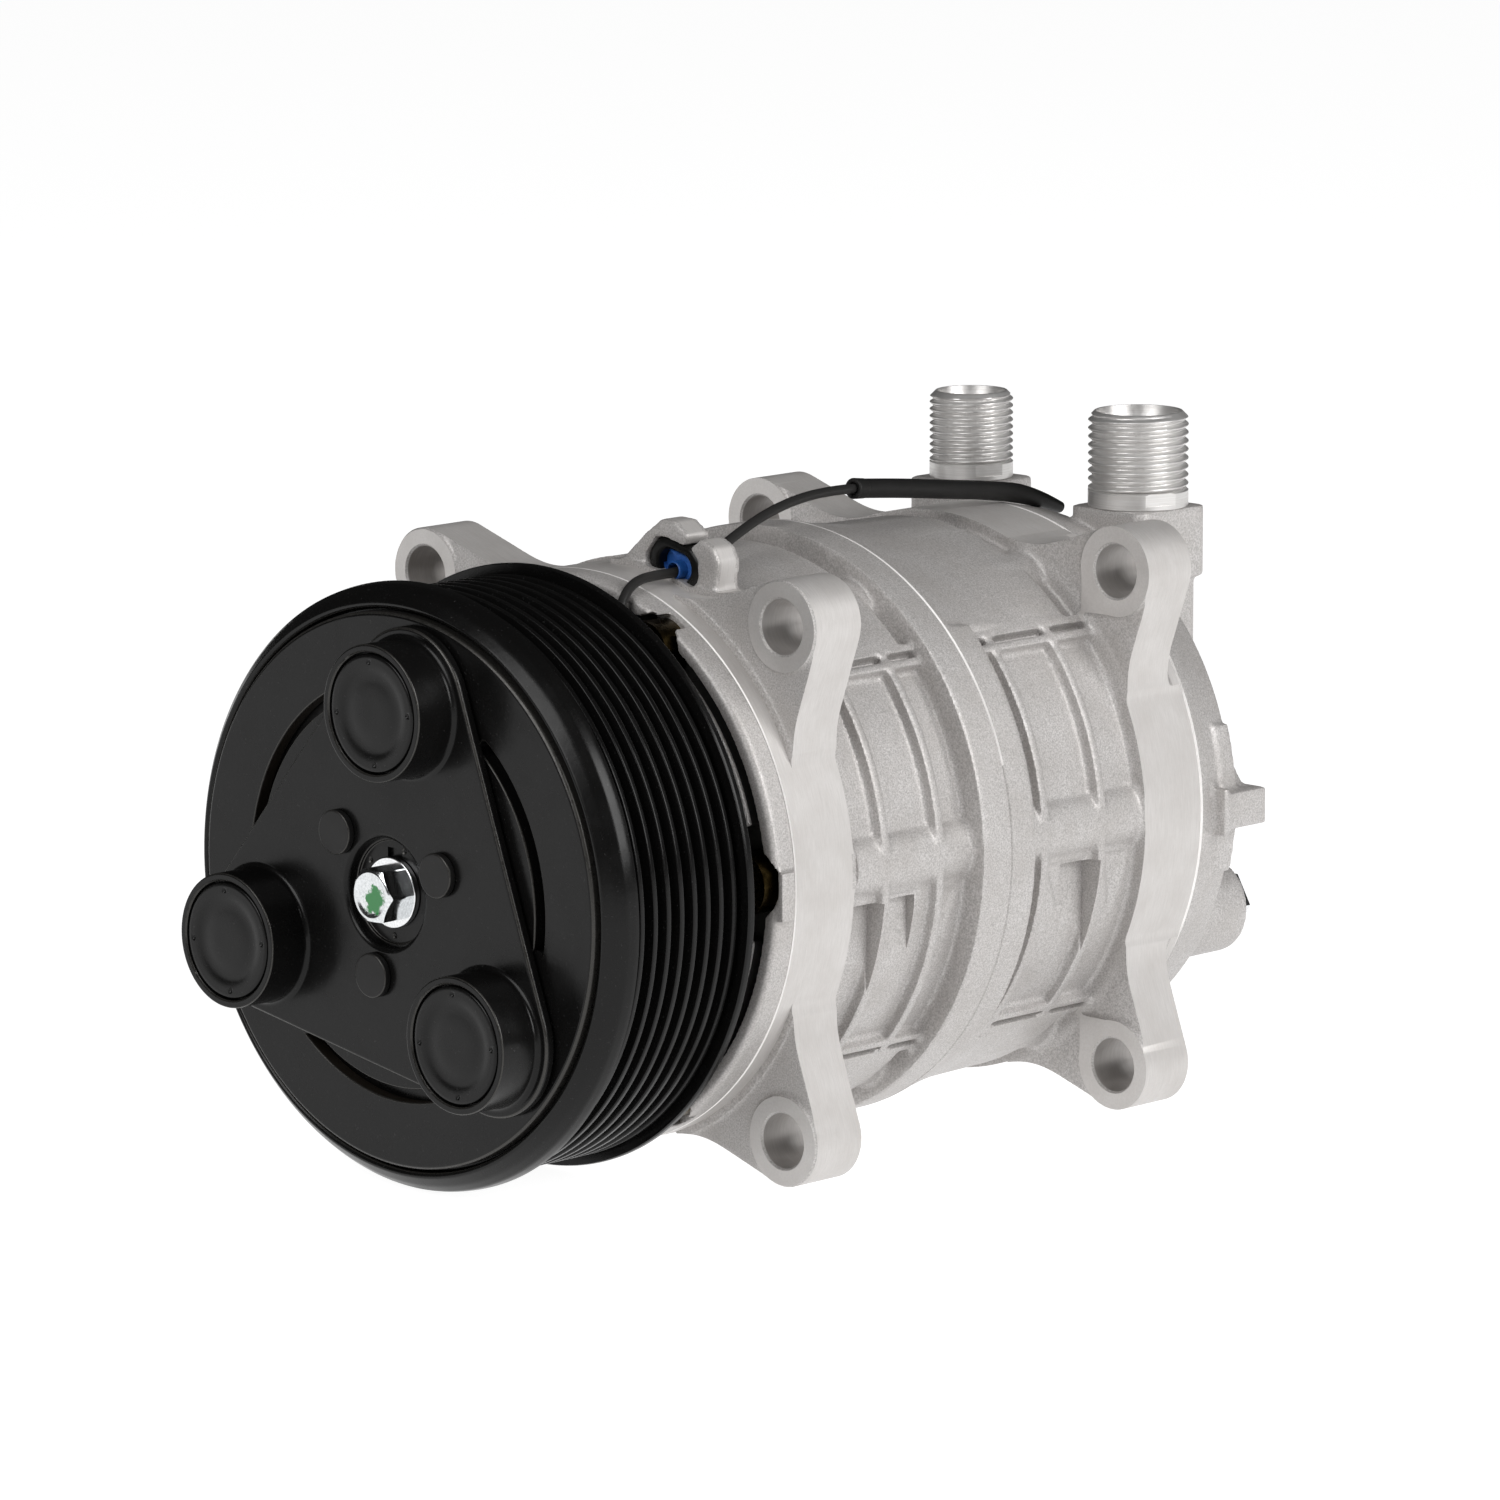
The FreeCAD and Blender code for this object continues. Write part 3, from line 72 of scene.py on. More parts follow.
GROOVE_PITCH, CREST_DROP, GROOVE_DEPTH, FIRST_CREST, CREST_COUNT = 3.56, 2.0, 3.3, -45.7, 8
FRICTION_FACE, AIR_GAP, CONTACT_GAP = -52.6, 0.4, 0.02
ARMATURE_RADIUS, ARMATURE_THICKNESS = 54.6, 2.8
SLOT_INNER, SLOT_OUTER, SLOT_HALF_TURN = 38.8, 41.4, math.radians(33)
BEARING_OUTER, BEARING_FRONT, BEARING_WIDTH, COIL_OUTER = 27.5, -43.5, 20.0, 50.7
PLATE_FACE, PLATE_THICKNESS, LOBE_RADIUS, CENTRE_HOLE = -58.6, 2.2, 15.6, 10.8
CUP_PITCH, CUP_PHASE, CUP_RADIUS, CUP_WALL, CUP_FACE = 37.84, math.radians(79.9), 13.4, 1.5, -67.98
RIVET_PITCH, RIVET_PHASE, RIVET_HEAD = 16.6, math.radians(20.2), 4.4
FLANGE_BACK = PLATE_FACE + PLATE_THICKNESS + 3.0
BOSS_FACE = PLATE_FACE + 2.8
WASHER_FACE = BOSS_FACE - 1.4
PORT_OFFSET, PORT_STATION, FITTING_TOP = 23.5, 133.0, 77.5
GROMMET_PITCH, GROMMET_ANGLE, GROMMET_FACE, GROMMET_DEPTH = 60.1, math.radians(76.2), 6.6, 6.6
LEAD_IN_GROMMET = (15.25, 57.6)
SLEEVE_FROM = 11
WEB_TOP_X, WEB_SIDE_Z, EAR_FACING_RADIUS = 19.0, 25.0, 14.0
PIN_HOLE, RIVET_HOLE, BOSS_BORE, WIRE_HOLE = 4.0, 2.55, 7.0, 1.55
HEAD_HEIGHT, ACROSS_FLATS = 5.2, 10.0
FAR, OPEN_REACH = 90.0, 85.0
# A casting's filler passes the seam by SPARE and the milled side by STOCK, and the cutters take that off.
BARREL_CORE, SPARE, STOCK = 54.6, 1.2, 0.9


# ---------------------------------------------------------------- mesh helpers
def linked(name, data):
    """A new object in the scene."""
    obj = bpy.data.objects.new(name, data)
    bpy.context.scene.collection.objects.link(obj)
    return obj


def as_object(name, mesh, material=None):
    if material is not None:
        mesh.materials.append(material)
    return linked(name, mesh)


def mesh_from(name, points, faces):
    mesh = bpy.data.meshes.new(name)
    mesh.from_pydata([tuple(c * MM for c in p) for p in points], [], faces)
    mesh.update()
    return mesh


def outward(mesh):
    bm = bmesh.new()
    bm.from_mesh(mesh)
    bmesh.ops.recalc_face_normals(bm, faces=bm.faces)
    bm.to_mesh(mesh)
    bm.free()
    return mesh


def shade(obj, angle=35, level=False):
    """Smooth shading with edges above the angle kept sharp; level faces keep their own normals."""
    mesh = obj.data
    mesh.polygons.foreach_set("use_smooth", [True] * len(mesh.polygons))
    mesh.set_sharp_from_angle(angle=math.radians(angle))
    if level:
        weighted = obj.modifiers.new("level", "WEIGHTED_NORMAL")
        weighted.keep_sharp = True
        baked(obj)
    return obj


def polar(radius, angle, centre=(0.0, 0.0)):
    """The (x, z) point at this distance and angle from a centre."""
    return centre[0] + radius * math.cos(angle), centre[1] + radius * math.sin(angle)


def turned(name, profile, segments=192, centre=(0.0, 0.0)):
    """A closed mesh turned about the shaft direction from (radius, station) points."""
    points, faces, rows = [], [], []
    for radius, station in profile:
        if radius < 1e-6:
            rows.append([len(points)] * segments)
            points.append((centre[0], station, centre[1]))
            continue
        rows.append(list(range(len(points), len(points) + segments)))
        ring = [polar(radius, 2 * math.pi * k / segments, centre) for k in range(segments)]
        points += [(x, station, z) for x, z in ring]
    for one, two in zip(rows, rows[1:] + rows[:1]):
        for k in range(segments):
            j = (k + 1) % segments
            face = [one[k], one[j], two[j], two[k]]
            face = [v for i, v in enumerate(face) if v != face[i - 1]]
            if len(face) > 2:
                faces.append(face)
    return outward(mesh_from(name, points, faces))


def rod_mesh(radius, start, end, centre=(0.0, 0.0), segments=96):
    return turned("rod", [(0, start), (radius, start), (radius, end), (0, end)], segments, centre)


def prism_mesh(outline, start, end):
    """A closed prism along the shaft from (x, z) points."""
    return loft("prism", [(start, outline), (end, outline)])


def sector_mesh(inner, outer, start, end, first, last, steps=64):
    """Part of a plain ring about the shaft between two angles in degrees."""
    turns = [math.radians(first + (last - first) * k / steps) for k in range(steps + 1)]
    outline = [polar(outer, a) for a in turns] + [polar(inner, a) for a in reversed(turns)]
    return prism_mesh(outline, start, end)


def softened(points, reach, steps=4, closed=True):
    """An outline whose corners are eased over this distance."""
    eased = []
    for k, corner in enumerate(points):
        if not closed and k in (0, len(points) - 1):
            eased.append(tuple(corner))
            continue
        corner = Vector(corner)
        back, ahead = Vector(points[k - 1]) - corner, Vector(points[(k + 1) % len(points)]) - corner
        first = corner + back * min(0.45, reach / back.length)
        last = corner + ahead * min(0.45, reach / ahead.length)
        for i in range(steps + 1):
            t = i / steps
            eased.append(tuple(first * (1 - t) ** 2 + corner * 2 * t * (1 - t) + last * t * t))
    return eased


def loft(name, sections):
    """A closed mesh through (station, outline) sections whose outlines match point for point."""
    count = len(sections[0][1])
    points = [(x, station, z) for station, outline in sections for x, z in outline]
    faces = [list(range(count)), list(range(len(points) - 1, len(points) - count - 1, -1))]
    for row in range(len(sections) - 1):
        low = row * count
        faces += [[low + k, low + (k + 1) % count, low + count + (k + 1) % count, low + count + k]
                  for k in range(count)]
    return outward(mesh_from(name, points, faces))


def eased(name, start, shape, outline):
    """A loft from (depth, grow) pairs; the outline is a function of how much larger it is made."""
    return loft(name, [(start + depth, outline(grow)) for depth, grow in shape])


def around(pitch, phase, count):
    """Points evenly spaced on a pitch circle."""
    return [polar(pitch, phase + 2 * math.pi * k / count) for k in range(count)]


def box_mesh(x, y, z):
    points = [(i, j, k) for i in x for j in y for k in z]
    faces = [[0, 1, 3, 2], [4, 6, 7, 5], [0, 4, 5, 1], [2, 3, 7, 6], [0, 2, 6, 4], [1, 5, 7, 3]]
    return outward(mesh_from("box", points, faces))


def slab(start, end):
    """Everything between two stations."""
    return box_mesh((-FAR, FAR), (start, end), (-FAR, FAR))


def joined(name, meshes):
    """One mesh from several, each kept as its own closed shell."""
    bm = bmesh.new()
    for mesh in meshes:
        bm.from_mesh(mesh)
    result = bpy.data.meshes.new(name)
    bm.to_mesh(result)
    bm.free()
    return result


def cad_mesh(node):
    """A welded copy of a CAD node's mesh, without its custom normals."""
    bm = bmesh.new()
    bm.from_mesh(frame["nodes"][node].data)
    bmesh.ops.remove_doubles(bm, verts=bm.verts, dist=2e-7)
    result = bpy.data.meshes.new(node)
    bm.to_mesh(result)
    bm.free()
    for name in ("custom_normal", "sharp_face", "sharp_edge"):
        if name in result.attributes:
            result.attributes.remove(result.attributes[name])
    return result


def baked(obj):
    """The object with its modifiers applied."""
    graph = bpy.context.evaluated_depsgraph_get()
    mesh = bpy.data.meshes.new_from_object(obj.evaluated_get(graph))
    obj.modifiers.clear()
    obj.data = mesh
    return obj


def combined(obj, cutters, operation="DIFFERENCE"):
    """The object after a boolean with each closed cutter mesh."""
    helpers = []
    for mesh in cutters:
        helper = as_object("cutter", mesh)
        helpers.append(helper)
        modifier = obj.modifiers.new("cut", "BOOLEAN")
        modifier.operation = operation
        modifier.solver = "MANIFOLD"
        modifier.object = helper
    baked(obj)
    for helper in helpers:
        bpy.data.objects.remove(helper)
    return obj


def fitted(obj, body, slot, *nodes):
    """Attaches a finished piece to what it rides on and hides the CAD nodes it stands for; the material slot
    argument is not used.
    """
    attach(obj, body)
    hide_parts(*nodes)
    return obj


# ---------------------------------------------------------------- flanges and castings
def ear_centres():
    return [(i * EAR_X, k * EAR_Z) for i in (-1, 1) for k in (-1, 1)]


def ear_outline(steps=28):
    """(x, z) outline of one ear and its web, in the first quadrant; it closes inside the flange's disc."""
    start, end = math.pi / 2 + EAR_TOP_ANGLE, -EAR_SIDE_ANGLE
    ring = [polar(EAR_RADIUS, start + (end - start) * k / steps, (EAR_X, EAR_Z)) for k in range(steps + 1)]
    first, last = ring[0], ring[-1]
    top_foot = (WEB_TOP_X, first[1] - (first[0] - WEB_TOP_X) * math.tan(EAR_TOP_ANGLE))
    side_foot = (last[0] - (last[1] - WEB_SIDE_Z) * math.tan(EAR_SIDE_ANGLE), WEB_SIDE_Z)
    return [(0.0, 0.0), top_foot] + ring + [side_foot, (46.0, 20.0)]


def edge_radius(outline, heading):
    """Where a ray from the shaft axis leaves an outline that holds the axis, in the first quadrant."""
    direction = polar(1.0, heading)
    best = 0.0
    for (ax, az), (bx, bz) in zip(outline, outline[1:] + outline[:1]):
        ex, ez = bx - ax, bz - az
        cross = direction[0] * ez - direction[1] * ex
        if abs(cross) < 1e-9:
            continue
        along = (ax * ez - az * ex) / cross
        share = (ax * direction[1] - az * direction[0]) / cross
        if along > best and -1e-9 <= share <= 1 + 1e-9:
            best = along
    return best


def flange_reach(disc_radius, heading, blend=7.0):
    """Radius of the flange at this angle: the disc and the ear webs run into each other."""
    web = edge_radius(ear_outline(), math.atan2(abs(math.sin(heading)), abs(math.cos(heading))))
    overlap = max(blend - abs(disc_radius - web), 0.0) / blend
    return max(disc_radius, web) + overlap * overlap * blend / 4


def flange_ring(disc_radius, grow=0.0, open_from=None, open_to=None, steps=1440):
    """(x, z) outline of a flange with its ears, well clear of it between the two open angles in degrees."""
    outline = []
    for k in range(steps):
        heading = 2 * math.pi * k / steps
        is_open = open_from is not None and open_from <= math.degrees(heading) <= open_to
        reach = OPEN_REACH if is_open else flange_reach(disc_radius, heading) + grow
        outline.append(polar(reach, heading))
    return outline


def milled_side(disc_radius, start, end, *open_angles):
    """Cutter that leaves a flange and its ears with a crisp outer side."""
    inner = flange_ring(disc_radius, 0.0, *open_angles)
    count = len(inner)
    outer = around(FAR, 0.0, count)
    points = [(x, y, z) for y in (start, end) for ring in (inner, outer) for x, z in ring]
    a, b, c, d = 0, count, 2 * count, 3 * count
    faces = []
    for k in range(count):
        j = (k + 1) % count
        faces += [[a + k, a + j, b + j, b + k], [c + k, d + k, d + j, c + j],
                  [a + k, c + k, c + j, a + j], [b + k, b + j, d + j, d + k]]
    return outward(mesh_from("milled_side", points, faces))


def casting(node, fillers, cutters, voxel=0.5, rounds=4):
    """A cast piece: the CAD solid with filled hollows, remeshed and smoothed to cast fillets, then cut."""
    name = node + "_casting"
    obj = as_object(name, joined(name, [cad_mesh(node)] + fillers))
    remesh = obj.modifiers.new("remesh", "REMESH")
    remesh.mode = "VOXEL"
    remesh.voxel_size = voxel * MM
    smooth = obj.modifiers.new("smooth", "SMOOTH")
    smooth.factor = 0.5
    smooth.iterations = rounds
    combined(baked(obj), cutters)
    return fitted(shade(obj, 30), "casing", "cast_aluminium", node)


# ---------------------------------------------------------------- materials
class Nodes:
    """A material's or a world's node tree, with helpers that add to it."""

    def __init__(self, owner, coordinates):
        owner.use_nodes = True
        self.tree = owner.node_tree
        self.place = self.node("ShaderNodeTexCoord", {}).outputs[coordinates]

    def fill(self, socket, value):
        """Links a socket to another one, or gives it a value; a plain colour is opaque."""
        if isinstance(value, bpy.types.NodeSocket):
            self.tree.links.new(value, socket)
        else:
            socket.default_value = (*value, 1.0) if socket.type == "RGBA" else value

    def node(self, kind, inputs, **settings):
        item = self.tree.nodes.new(kind)
        for key, value in settings.items():
            setattr(item, key, value)
        for socket, value in inputs.items():
            self.fill(item.inputs[socket], value)
        return item

    def ramp(self, value, low, high, start=0.0, end=1.0):
        made = self.node("ShaderNodeMapRange", {"Value": value, "From Min": start, "From Max": end,
                                                "To Min": low, "To Max": high})
        return made.outputs[0]

    def math(self, operation, one, two=0.0):
        return self.node("ShaderNodeMath", {0: one, 1: two}, operation=operation).outputs[0]


class Finish(Nodes):
    """A Principled material made of procedural nodes, in object coordinates."""

    def __init__(self, name):
        self.material = bpy.data.materials.new(name)
        super().__init__(self.material, "Object")
        self.shader = self.tree.nodes["Principled BSDF"]

    def noise(self, size, detail=2.0, roughness=0.5, stretch=(1, 1, 1)):
        """Noise whose features are about this many millimetres across."""
        mapped = self.node("ShaderNodeMapping", {"Vector": self.place, "Scale": stretch})
        made = self.node("ShaderNodeTexNoise", {"Vector": mapped.outputs[0], "Scale": 1 / (size * MM),
                                                "Detail": detail, "Roughness": roughness})
        return made.outputs["Fac"]

    def mix(self, share, one, two):
        """A colour between two others; the node takes them in sockets 6 and 7 and gives it from output 2."""
        return self.node("ShaderNodeMix", {0: share, 6: one, 7: two}, data_type="RGBA").outputs[2]

    def blend(self, value, start, end, one, two, most=1.0):
        """A colour that goes from one towards two as the value rises from start to end."""
        return self.mix(self.ramp(value, 0.0, most, start, end), one, two)

    def spread(self, noise, low, high):
        """A number that follows the middle range of a noise."""
        return self.ramp(noise, low, high, 0.3, 0.7)

    def bump(self, height, depth, before=None):
        """Relief whose full height is this many millimetres."""
        inputs = {"Height": height, "Distance": depth * MM, "Strength": 1.0}
        if before is not None:
            inputs["Normal"] = before
        return self.node("ShaderNodeBump", inputs).outputs[0]

    def set(self, **sockets):
        """Fills the shader's inputs and gives the material back."""
        names = {"color": "Base Color", "metallic": "Metallic", "roughness": "Roughness", "normal": "Normal",
                 "specular": "Specular IOR Level", "emission": "Emission Color", "glow": "Emission Strength"}
        for key, value in sockets.items():
            self.fill(self.shader.inputs[names[key]], value)
        return self.material


def cast_finish():
    """Sandy cast skin with duller patches."""
    made = Finish("cast_aluminium")
    grain = made.noise(0.34, 3.0, 0.62)
    light = made.blend(grain, 0.36, 0.64, (0.36, 0.345, 0.335), (0.6, 0.58, 0.57))
    tone = made.blend(made.noise(9.0, 3.0, 0.55), 0.35, 0.7, light, (0.36, 0.335, 0.315), most=0.36)
    relief = made.bump(made.noise(1.6), 0.05, made.bump(grain, 0.05))
    return made.set(color=tone, metallic=0.35, normal=relief,
                    roughness=made.spread(made.noise(0.7), 0.42, 0.56))


def milled_finish(name="milled_aluminium", stretch=(0.06, 1.0, 0.06), tone=0.6, lines=0.2, rough=(0.42, 0.56)):
    """Cut metal with tool lines and duller patches."""
    made = Finish(name)
    marks = made.noise(lines, 3.0, 0.6, stretch)
    lined = made.blend(marks, 0.35, 0.65, (tone - 0.06, tone - 0.08, tone - 0.095),
                       (tone, tone - 0.02, tone - 0.035))
    colour = made.blend(made.noise(7.0, 3.0, 0.55), 0.35, 0.7, lined,
                        (tone - 0.14, tone - 0.165, tone - 0.185), most=0.4)
    return made.set(color=colour, metallic=0.4, roughness=made.spread(made.noise(0.5), *rough),
                    normal=made.bump(marks, 0.005))


def turned_finish():
    """Bright metal with fine tool rings round a vertical axis."""
    made = Finish("turned_aluminium")
    marks = made.noise(0.22, 2.0, 0.5, (0.02, 0.02, 1.0))
    return made.set(color=made.blend(marks, 0.3, 0.7, (0.6, 0.585, 0.57), (0.7, 0.69, 0.68)), metallic=0.75,
                    roughness=made.spread(made.noise(1.2), 0.36, 0.46), normal=made.bump(marks, 0.003))


def coated_finish(name="black_coat", base=0.004, rough=(0.2, 0.3)):
    """Black dipped coating: faint orange peel and a little dust."""
    made = Finish(name)
    dust = made.noise(0.5, 3.0, 0.6)
    colour = made.blend(dust, 0.66, 0.74, (base, base * 0.97, base * 0.95), (0.03, 0.03, 0.03))
    return made.set(color=colour, roughness=made.spread(made.noise(6.0, 3.0), *rough),
                    normal=made.bump(made.noise(1.1), 0.012), specular=0.22)


def rubber_finish(name, colour, rough):
    made = Finish(name)
    spots = made.noise(0.6, 3.0, 0.6)
    lighter = tuple(c * 1.5 + 0.004 for c in colour)
    return made.set(color=made.blend(spots, 0.4, 0.8, colour, lighter),
                    roughness=made.spread(made.noise(2.0), *rough), normal=made.bump(spots, 0.02))


def steel_finish(name, colour, rough, stretch=(1, 1, 1), metallic=1.0, depth=0.006):
    made = Finish(name)
    marks = made.noise(0.3, 2.0, 0.5, stretch)
    darker = tuple(c * 0.82 for c in colour)
    return made.set(color=made.blend(marks, 0.3, 0.7, darker, colour), metallic=metallic,
                    roughness=made.spread(made.noise(1.4, 3.0), *rough), normal=made.bump(marks, depth))


def painted_bolt_finish():
    """Zinc plate with a dab of green marking paint on the head's face."""
    dab_x, dab_z, dab_end = 0.9, -0.8, WASHER_FACE - 3.8
    made = Finish("zinc_with_paint")
    marks = made.noise(0.5, 3.0, 0.6)
    zinc = made.blend(marks, 0.3, 0.7, (0.6, 0.62, 0.63), (0.8, 0.82, 0.83))
    apart = made.node("ShaderNodeSeparateXYZ", {0: made.place})
    x = made.math("MULTIPLY", made.math("SUBTRACT", apart.outputs[0], dab_x * MM), 1 / MM)
    z = made.math("MULTIPLY", made.math("SUBTRACT", apart.outputs[2], dab_z * MM), 1 / MM)
    reach = made.math("SQRT", made.math("ADD", made.math("MULTIPLY", x, x), made.math("MULTIPLY", z, z)))
    edge = made.math("ADD", reach, made.ramp(made.noise(1.5, 3.0, 0.6), -2.4, 2.4))
    near = made.ramp(edge, 1.0, 0.0, 2.3, 2.9)
    facing = made.ramp(apart.outputs[1], 1.0, 0.0, (dab_end - 0.1) * MM, (dab_end + 0.1) * MM)
    share = made.math("MULTIPLY", near, facing)
    return made.set(color=made.mix(share, zinc, (0.03, 0.2, 0.055)),
                    metallic=made.math("SUBTRACT", 1.0, share), roughness=made.ramp(marks, 0.1, 0.2),
                    normal=made.bump(marks, 0.008))


CAST = cast_finish()
MILLED = milled_finish()
FACED = milled_finish("faced_aluminium", (1.0, 1.0, 1.0), 0.6, 0.5, (0.34, 0.46))
BORED = milled_finish("bored_aluminium", (0.1, 1.0, 0.1), 0.5, 0.4, (0.34, 0.48))
# Seam bevels: near-white machined metal, partly the bright cut edge and partly a painted highlight.
SEAM_PAINTED_HIGHLIGHT = milled_finish("seam_edge_painted_highlight", (1.0, 1.0, 1.0), 0.95, 0.5, (0.4, 0.5))
TURNED = turned_finish()
BLACK = coated_finish()
# Near-black finish that paints the shade in the front head's groove and recesses behind the pulley.
RECESS_PAINTED_SHADE = steel_finish("recess_painted_shade", (0.022, 0.021, 0.02), (0.5, 0.65), metallic=0.1)
ZINC = steel_finish("zinc_steel", (0.88, 0.89, 0.9), (0.1, 0.18), depth=0.002)
BOLT = painted_bolt_finish()
WORN = steel_finish("worn_coat_edge", (0.042, 0.04, 0.037), (0.22, 0.4), metallic=0.5, depth=0.03)
RUSTY = steel_finish("bare_slot_wall", (0.03, 0.024, 0.018), (0.3, 0.5), (1.0, 1.0, 0.2), metallic=0.5)
BROWNED = coated_finish("browned_rivet", 0.011, (0.3, 0.42))
GLOSSY_RUBBER = coated_finish("glossy_rubber", 0.006, (0.22, 0.36))
WIRE = coated_finish("wire_sheath", 0.022, (0.3, 0.4))
SLEEVE = coated_finish("sleeve_rubber", 0.012, (0.38, 0.5))
# Yellow zinc made very dark: painted shade for the through bolts, which sit in shadow behind the pulley.
SHADED_YELLOW_ZINC = steel_finish("yellow_zinc_painted_shade", (0.055, 0.038, 0.013), (0.2, 0.3))

SLOT_FINISH = {"cast_aluminium": CAST, "machined_aluminium": TURNED, "black_coat": BLACK, "zinc_steel": ZINC}
for slot, colour, rough, depth in (
        ("bearing_steel", (0.66, 0.66, 0.67), (0.14, 0.24), 0.006),
        ("spring_steel", (0.3, 0.31, 0.34), (0.2, 0.32), 0.006),
        ("sintered_steel", (0.34, 0.34, 0.35), (0.4, 0.56), 0.02)):
    SLOT_FINISH[slot] = steel_finish(slot, colour, rough, depth=depth)
for slot, colour, rough in (
        ("black_rubber", (0.016, 0.016, 0.017), (0.5, 0.66)),
        ("blue_rubber", (0.01, 0.07, 0.27), (0.35, 0.5)),
        ("cable_sheath", (0.012, 0.012, 0.013), (0.34, 0.46)),
        ("heat_shrink", (0.014, 0.014, 0.014), (0.36, 0.52)),
        ("coil_resin", (0.12, 0.05, 0.03), (0.3, 0.5)),
        ("gasket_grey", (0.22, 0.23, 0.24), (0.5, 0.66)),
        ("ptfe", (0.5, 0.46, 0.38), (0.5, 0.66))):
    SLOT_FINISH[slot] = rubber_finish(slot, colour, rough)
# The through bolts get the darkened zinc with its painted shade.
NODE_FINISH = {"through_bolts": SHADED_YELLOW_ZINC, "drive_key": BLACK, "shaft": BLACK}


def finish_cad_nodes():
    """Gives every CAD node the procedural finish of its slot, or its own."""
    for part in frame["record"]["subparts"]:
        obj = frame["nodes"][part["node"]]
        obj.data.materials.clear()
        obj.data.materials.append(NODE_FINISH.get(part["node"]) or SLOT_FINISH[part["material_slot"]])


# ---------------------------------------------------------------- painting faces by place
class Faces:
    """Where the faces of a mesh are, in millimetres, and how far each one leans along the shaft."""

    def __init__(self, mesh):
        count = len(mesh.polygons)
        centre, normal = np.zeros(count * 3, np.float32), np.zeros(count * 3, np.float32)
        mesh.polygons.foreach_get("center", centre)
        mesh.polygons.foreach_get("normal", normal)
        self.x, self.station, self.z = (centre.reshape(-1, 3) / MM).T
        self.radius = np.hypot(self.x, self.z)
        self.lean = normal.reshape(-1, 3)[:, 1]


def between(values, low, high):
    return (values > low) & (values < high)


def paint_faces(obj, base, *rules):
    """Gives faces a material by place: each rule is (material, test on Faces), and the last one wins."""
    mesh = obj.data
    faces = Faces(mesh)
    index = np.zeros(len(faces.x), np.int32)
    mesh.materials.clear()
    mesh.materials.append(base)
    for number, (material, test) in enumerate(rules, start=1):
        mesh.materials.append(material)
        index[test(faces)] = number
    mesh.polygons.foreach_set("material_index", index)


def in_ear_hole(faces):
    near = np.zeros(len(faces.x), bool)
    for x, z in ear_centres():
        near |= np.hypot(faces.x - x, faces.z - z) < EAR_HOLE + 0.05
    return near


def on_plane(station):
    return lambda faces: (np.abs(faces.station - station) < 0.02) & (np.abs(faces.lean) > 0.98)


def on_side(start, end, least_radius=56.0):
    """The milled outer sides of a flange and its ears."""
    return lambda faces: (between(faces.station, start, end) & (faces.radius > least_radius)
                          & (np.abs(faces.lean) < 0.02) & ~in_ear_hole(faces))


def near_seam(radius, station, width=0.5, lowest=-FAR):
    """Faces of a seam's bevelled edge, above this height; they get the painted highlight."""
    return lambda faces: ((np.abs(faces.station - station) < width) & (faces.z > lowest)
                          & between(faces.radius, radius - width, radius + 0.1)
                          & between(np.abs(faces.lean), 0.3, 0.95))


def worn_edges(low=0.3, high=0.93):
    """Faces of the eased edges, where the coating is thin."""
    return lambda faces: between(faces.lean, -high, -low)


# ---------------------------------------------------------------- the four castings
def seam_groove(radius, station, width=0.45):
    """Cutter that bevels both edges of a seam."""
    mouth = radius + 3
    return turned("seam_groove", [(radius - width, station), (mouth, station - 3 - width),
                                  (mouth, station + 3 + width)])


def ear_cutters(face):
    """Cutters that face the four ears and bore their holes, chamfered at both ends."""
    end = face + EAR_THICKNESS
    bore = [(0, face - 3), (EAR_HOLE + 3.4, face - 3), (EAR_HOLE, face + 0.4), (EAR_HOLE, end - 0.4),
            (EAR_HOLE + 3.4, end + 3), (0, end + 3)]
    facings = [rod_mesh(EAR_FACING_RADIUS, face - 4, face, centre) for centre in ear_centres()]
    return facings + [turned("hole", bore, 96, centre) for centre in ear_centres()]


def beside_grommet(along, out):
    """A point (x, z) given along the rim, clockwise, and outwards from the middle of the grommet."""
    x, z = polar(GROMMET_PITCH + out, GROMMET_ANGLE)
    return x + along * math.sin(GROMMET_ANGLE), z - along * math.cos(GROMMET_ANGLE)


def horn_fillers():
    """Thickens the two horns that hold the grommet, so that smoothing leaves them their size."""
    left = [(-15.0, -5.0), (-6.0, -5.0), (-7.4, 0.0), (-5.4, 4.4), (-3.0, 4.9), (2.2, 4.9), (3.0, 7.3),
            (-1.2, 8.9), (-4.8, 8.2), (-8.6, 3.8), (-12.0, -1.2)]
    right = [(6.2, -5.0), (7.4, 0.0), (6.5, 3.4), (3.9, 5.0), (6.4, 7.9), (9.9, 7.4), (12.2, 5.0),
             (13.0, -5.0)]
    front = GROMMET_FACE - 0.9
    horns = [[beside_grommet(*corner) for corner in horn] for horn in (left, right)]
    return [prism_mesh(horn, front, front + 6.3) for horn in horns]


def side_hollow(start, end, floor, foot, outer=BARREL_RADIUS):
    """Cutter for a cored hollow under the side bolt tunnel, whose floor meets the outer radius at its foot."""
    surface, clear = math.sqrt(outer ** 2 - foot ** 2), 62.0
    return prism_mesh([(floor, TUNNEL_FOOT), (clear, TUNNEL_FOOT), (clear, foot), (surface, foot)], start, end)


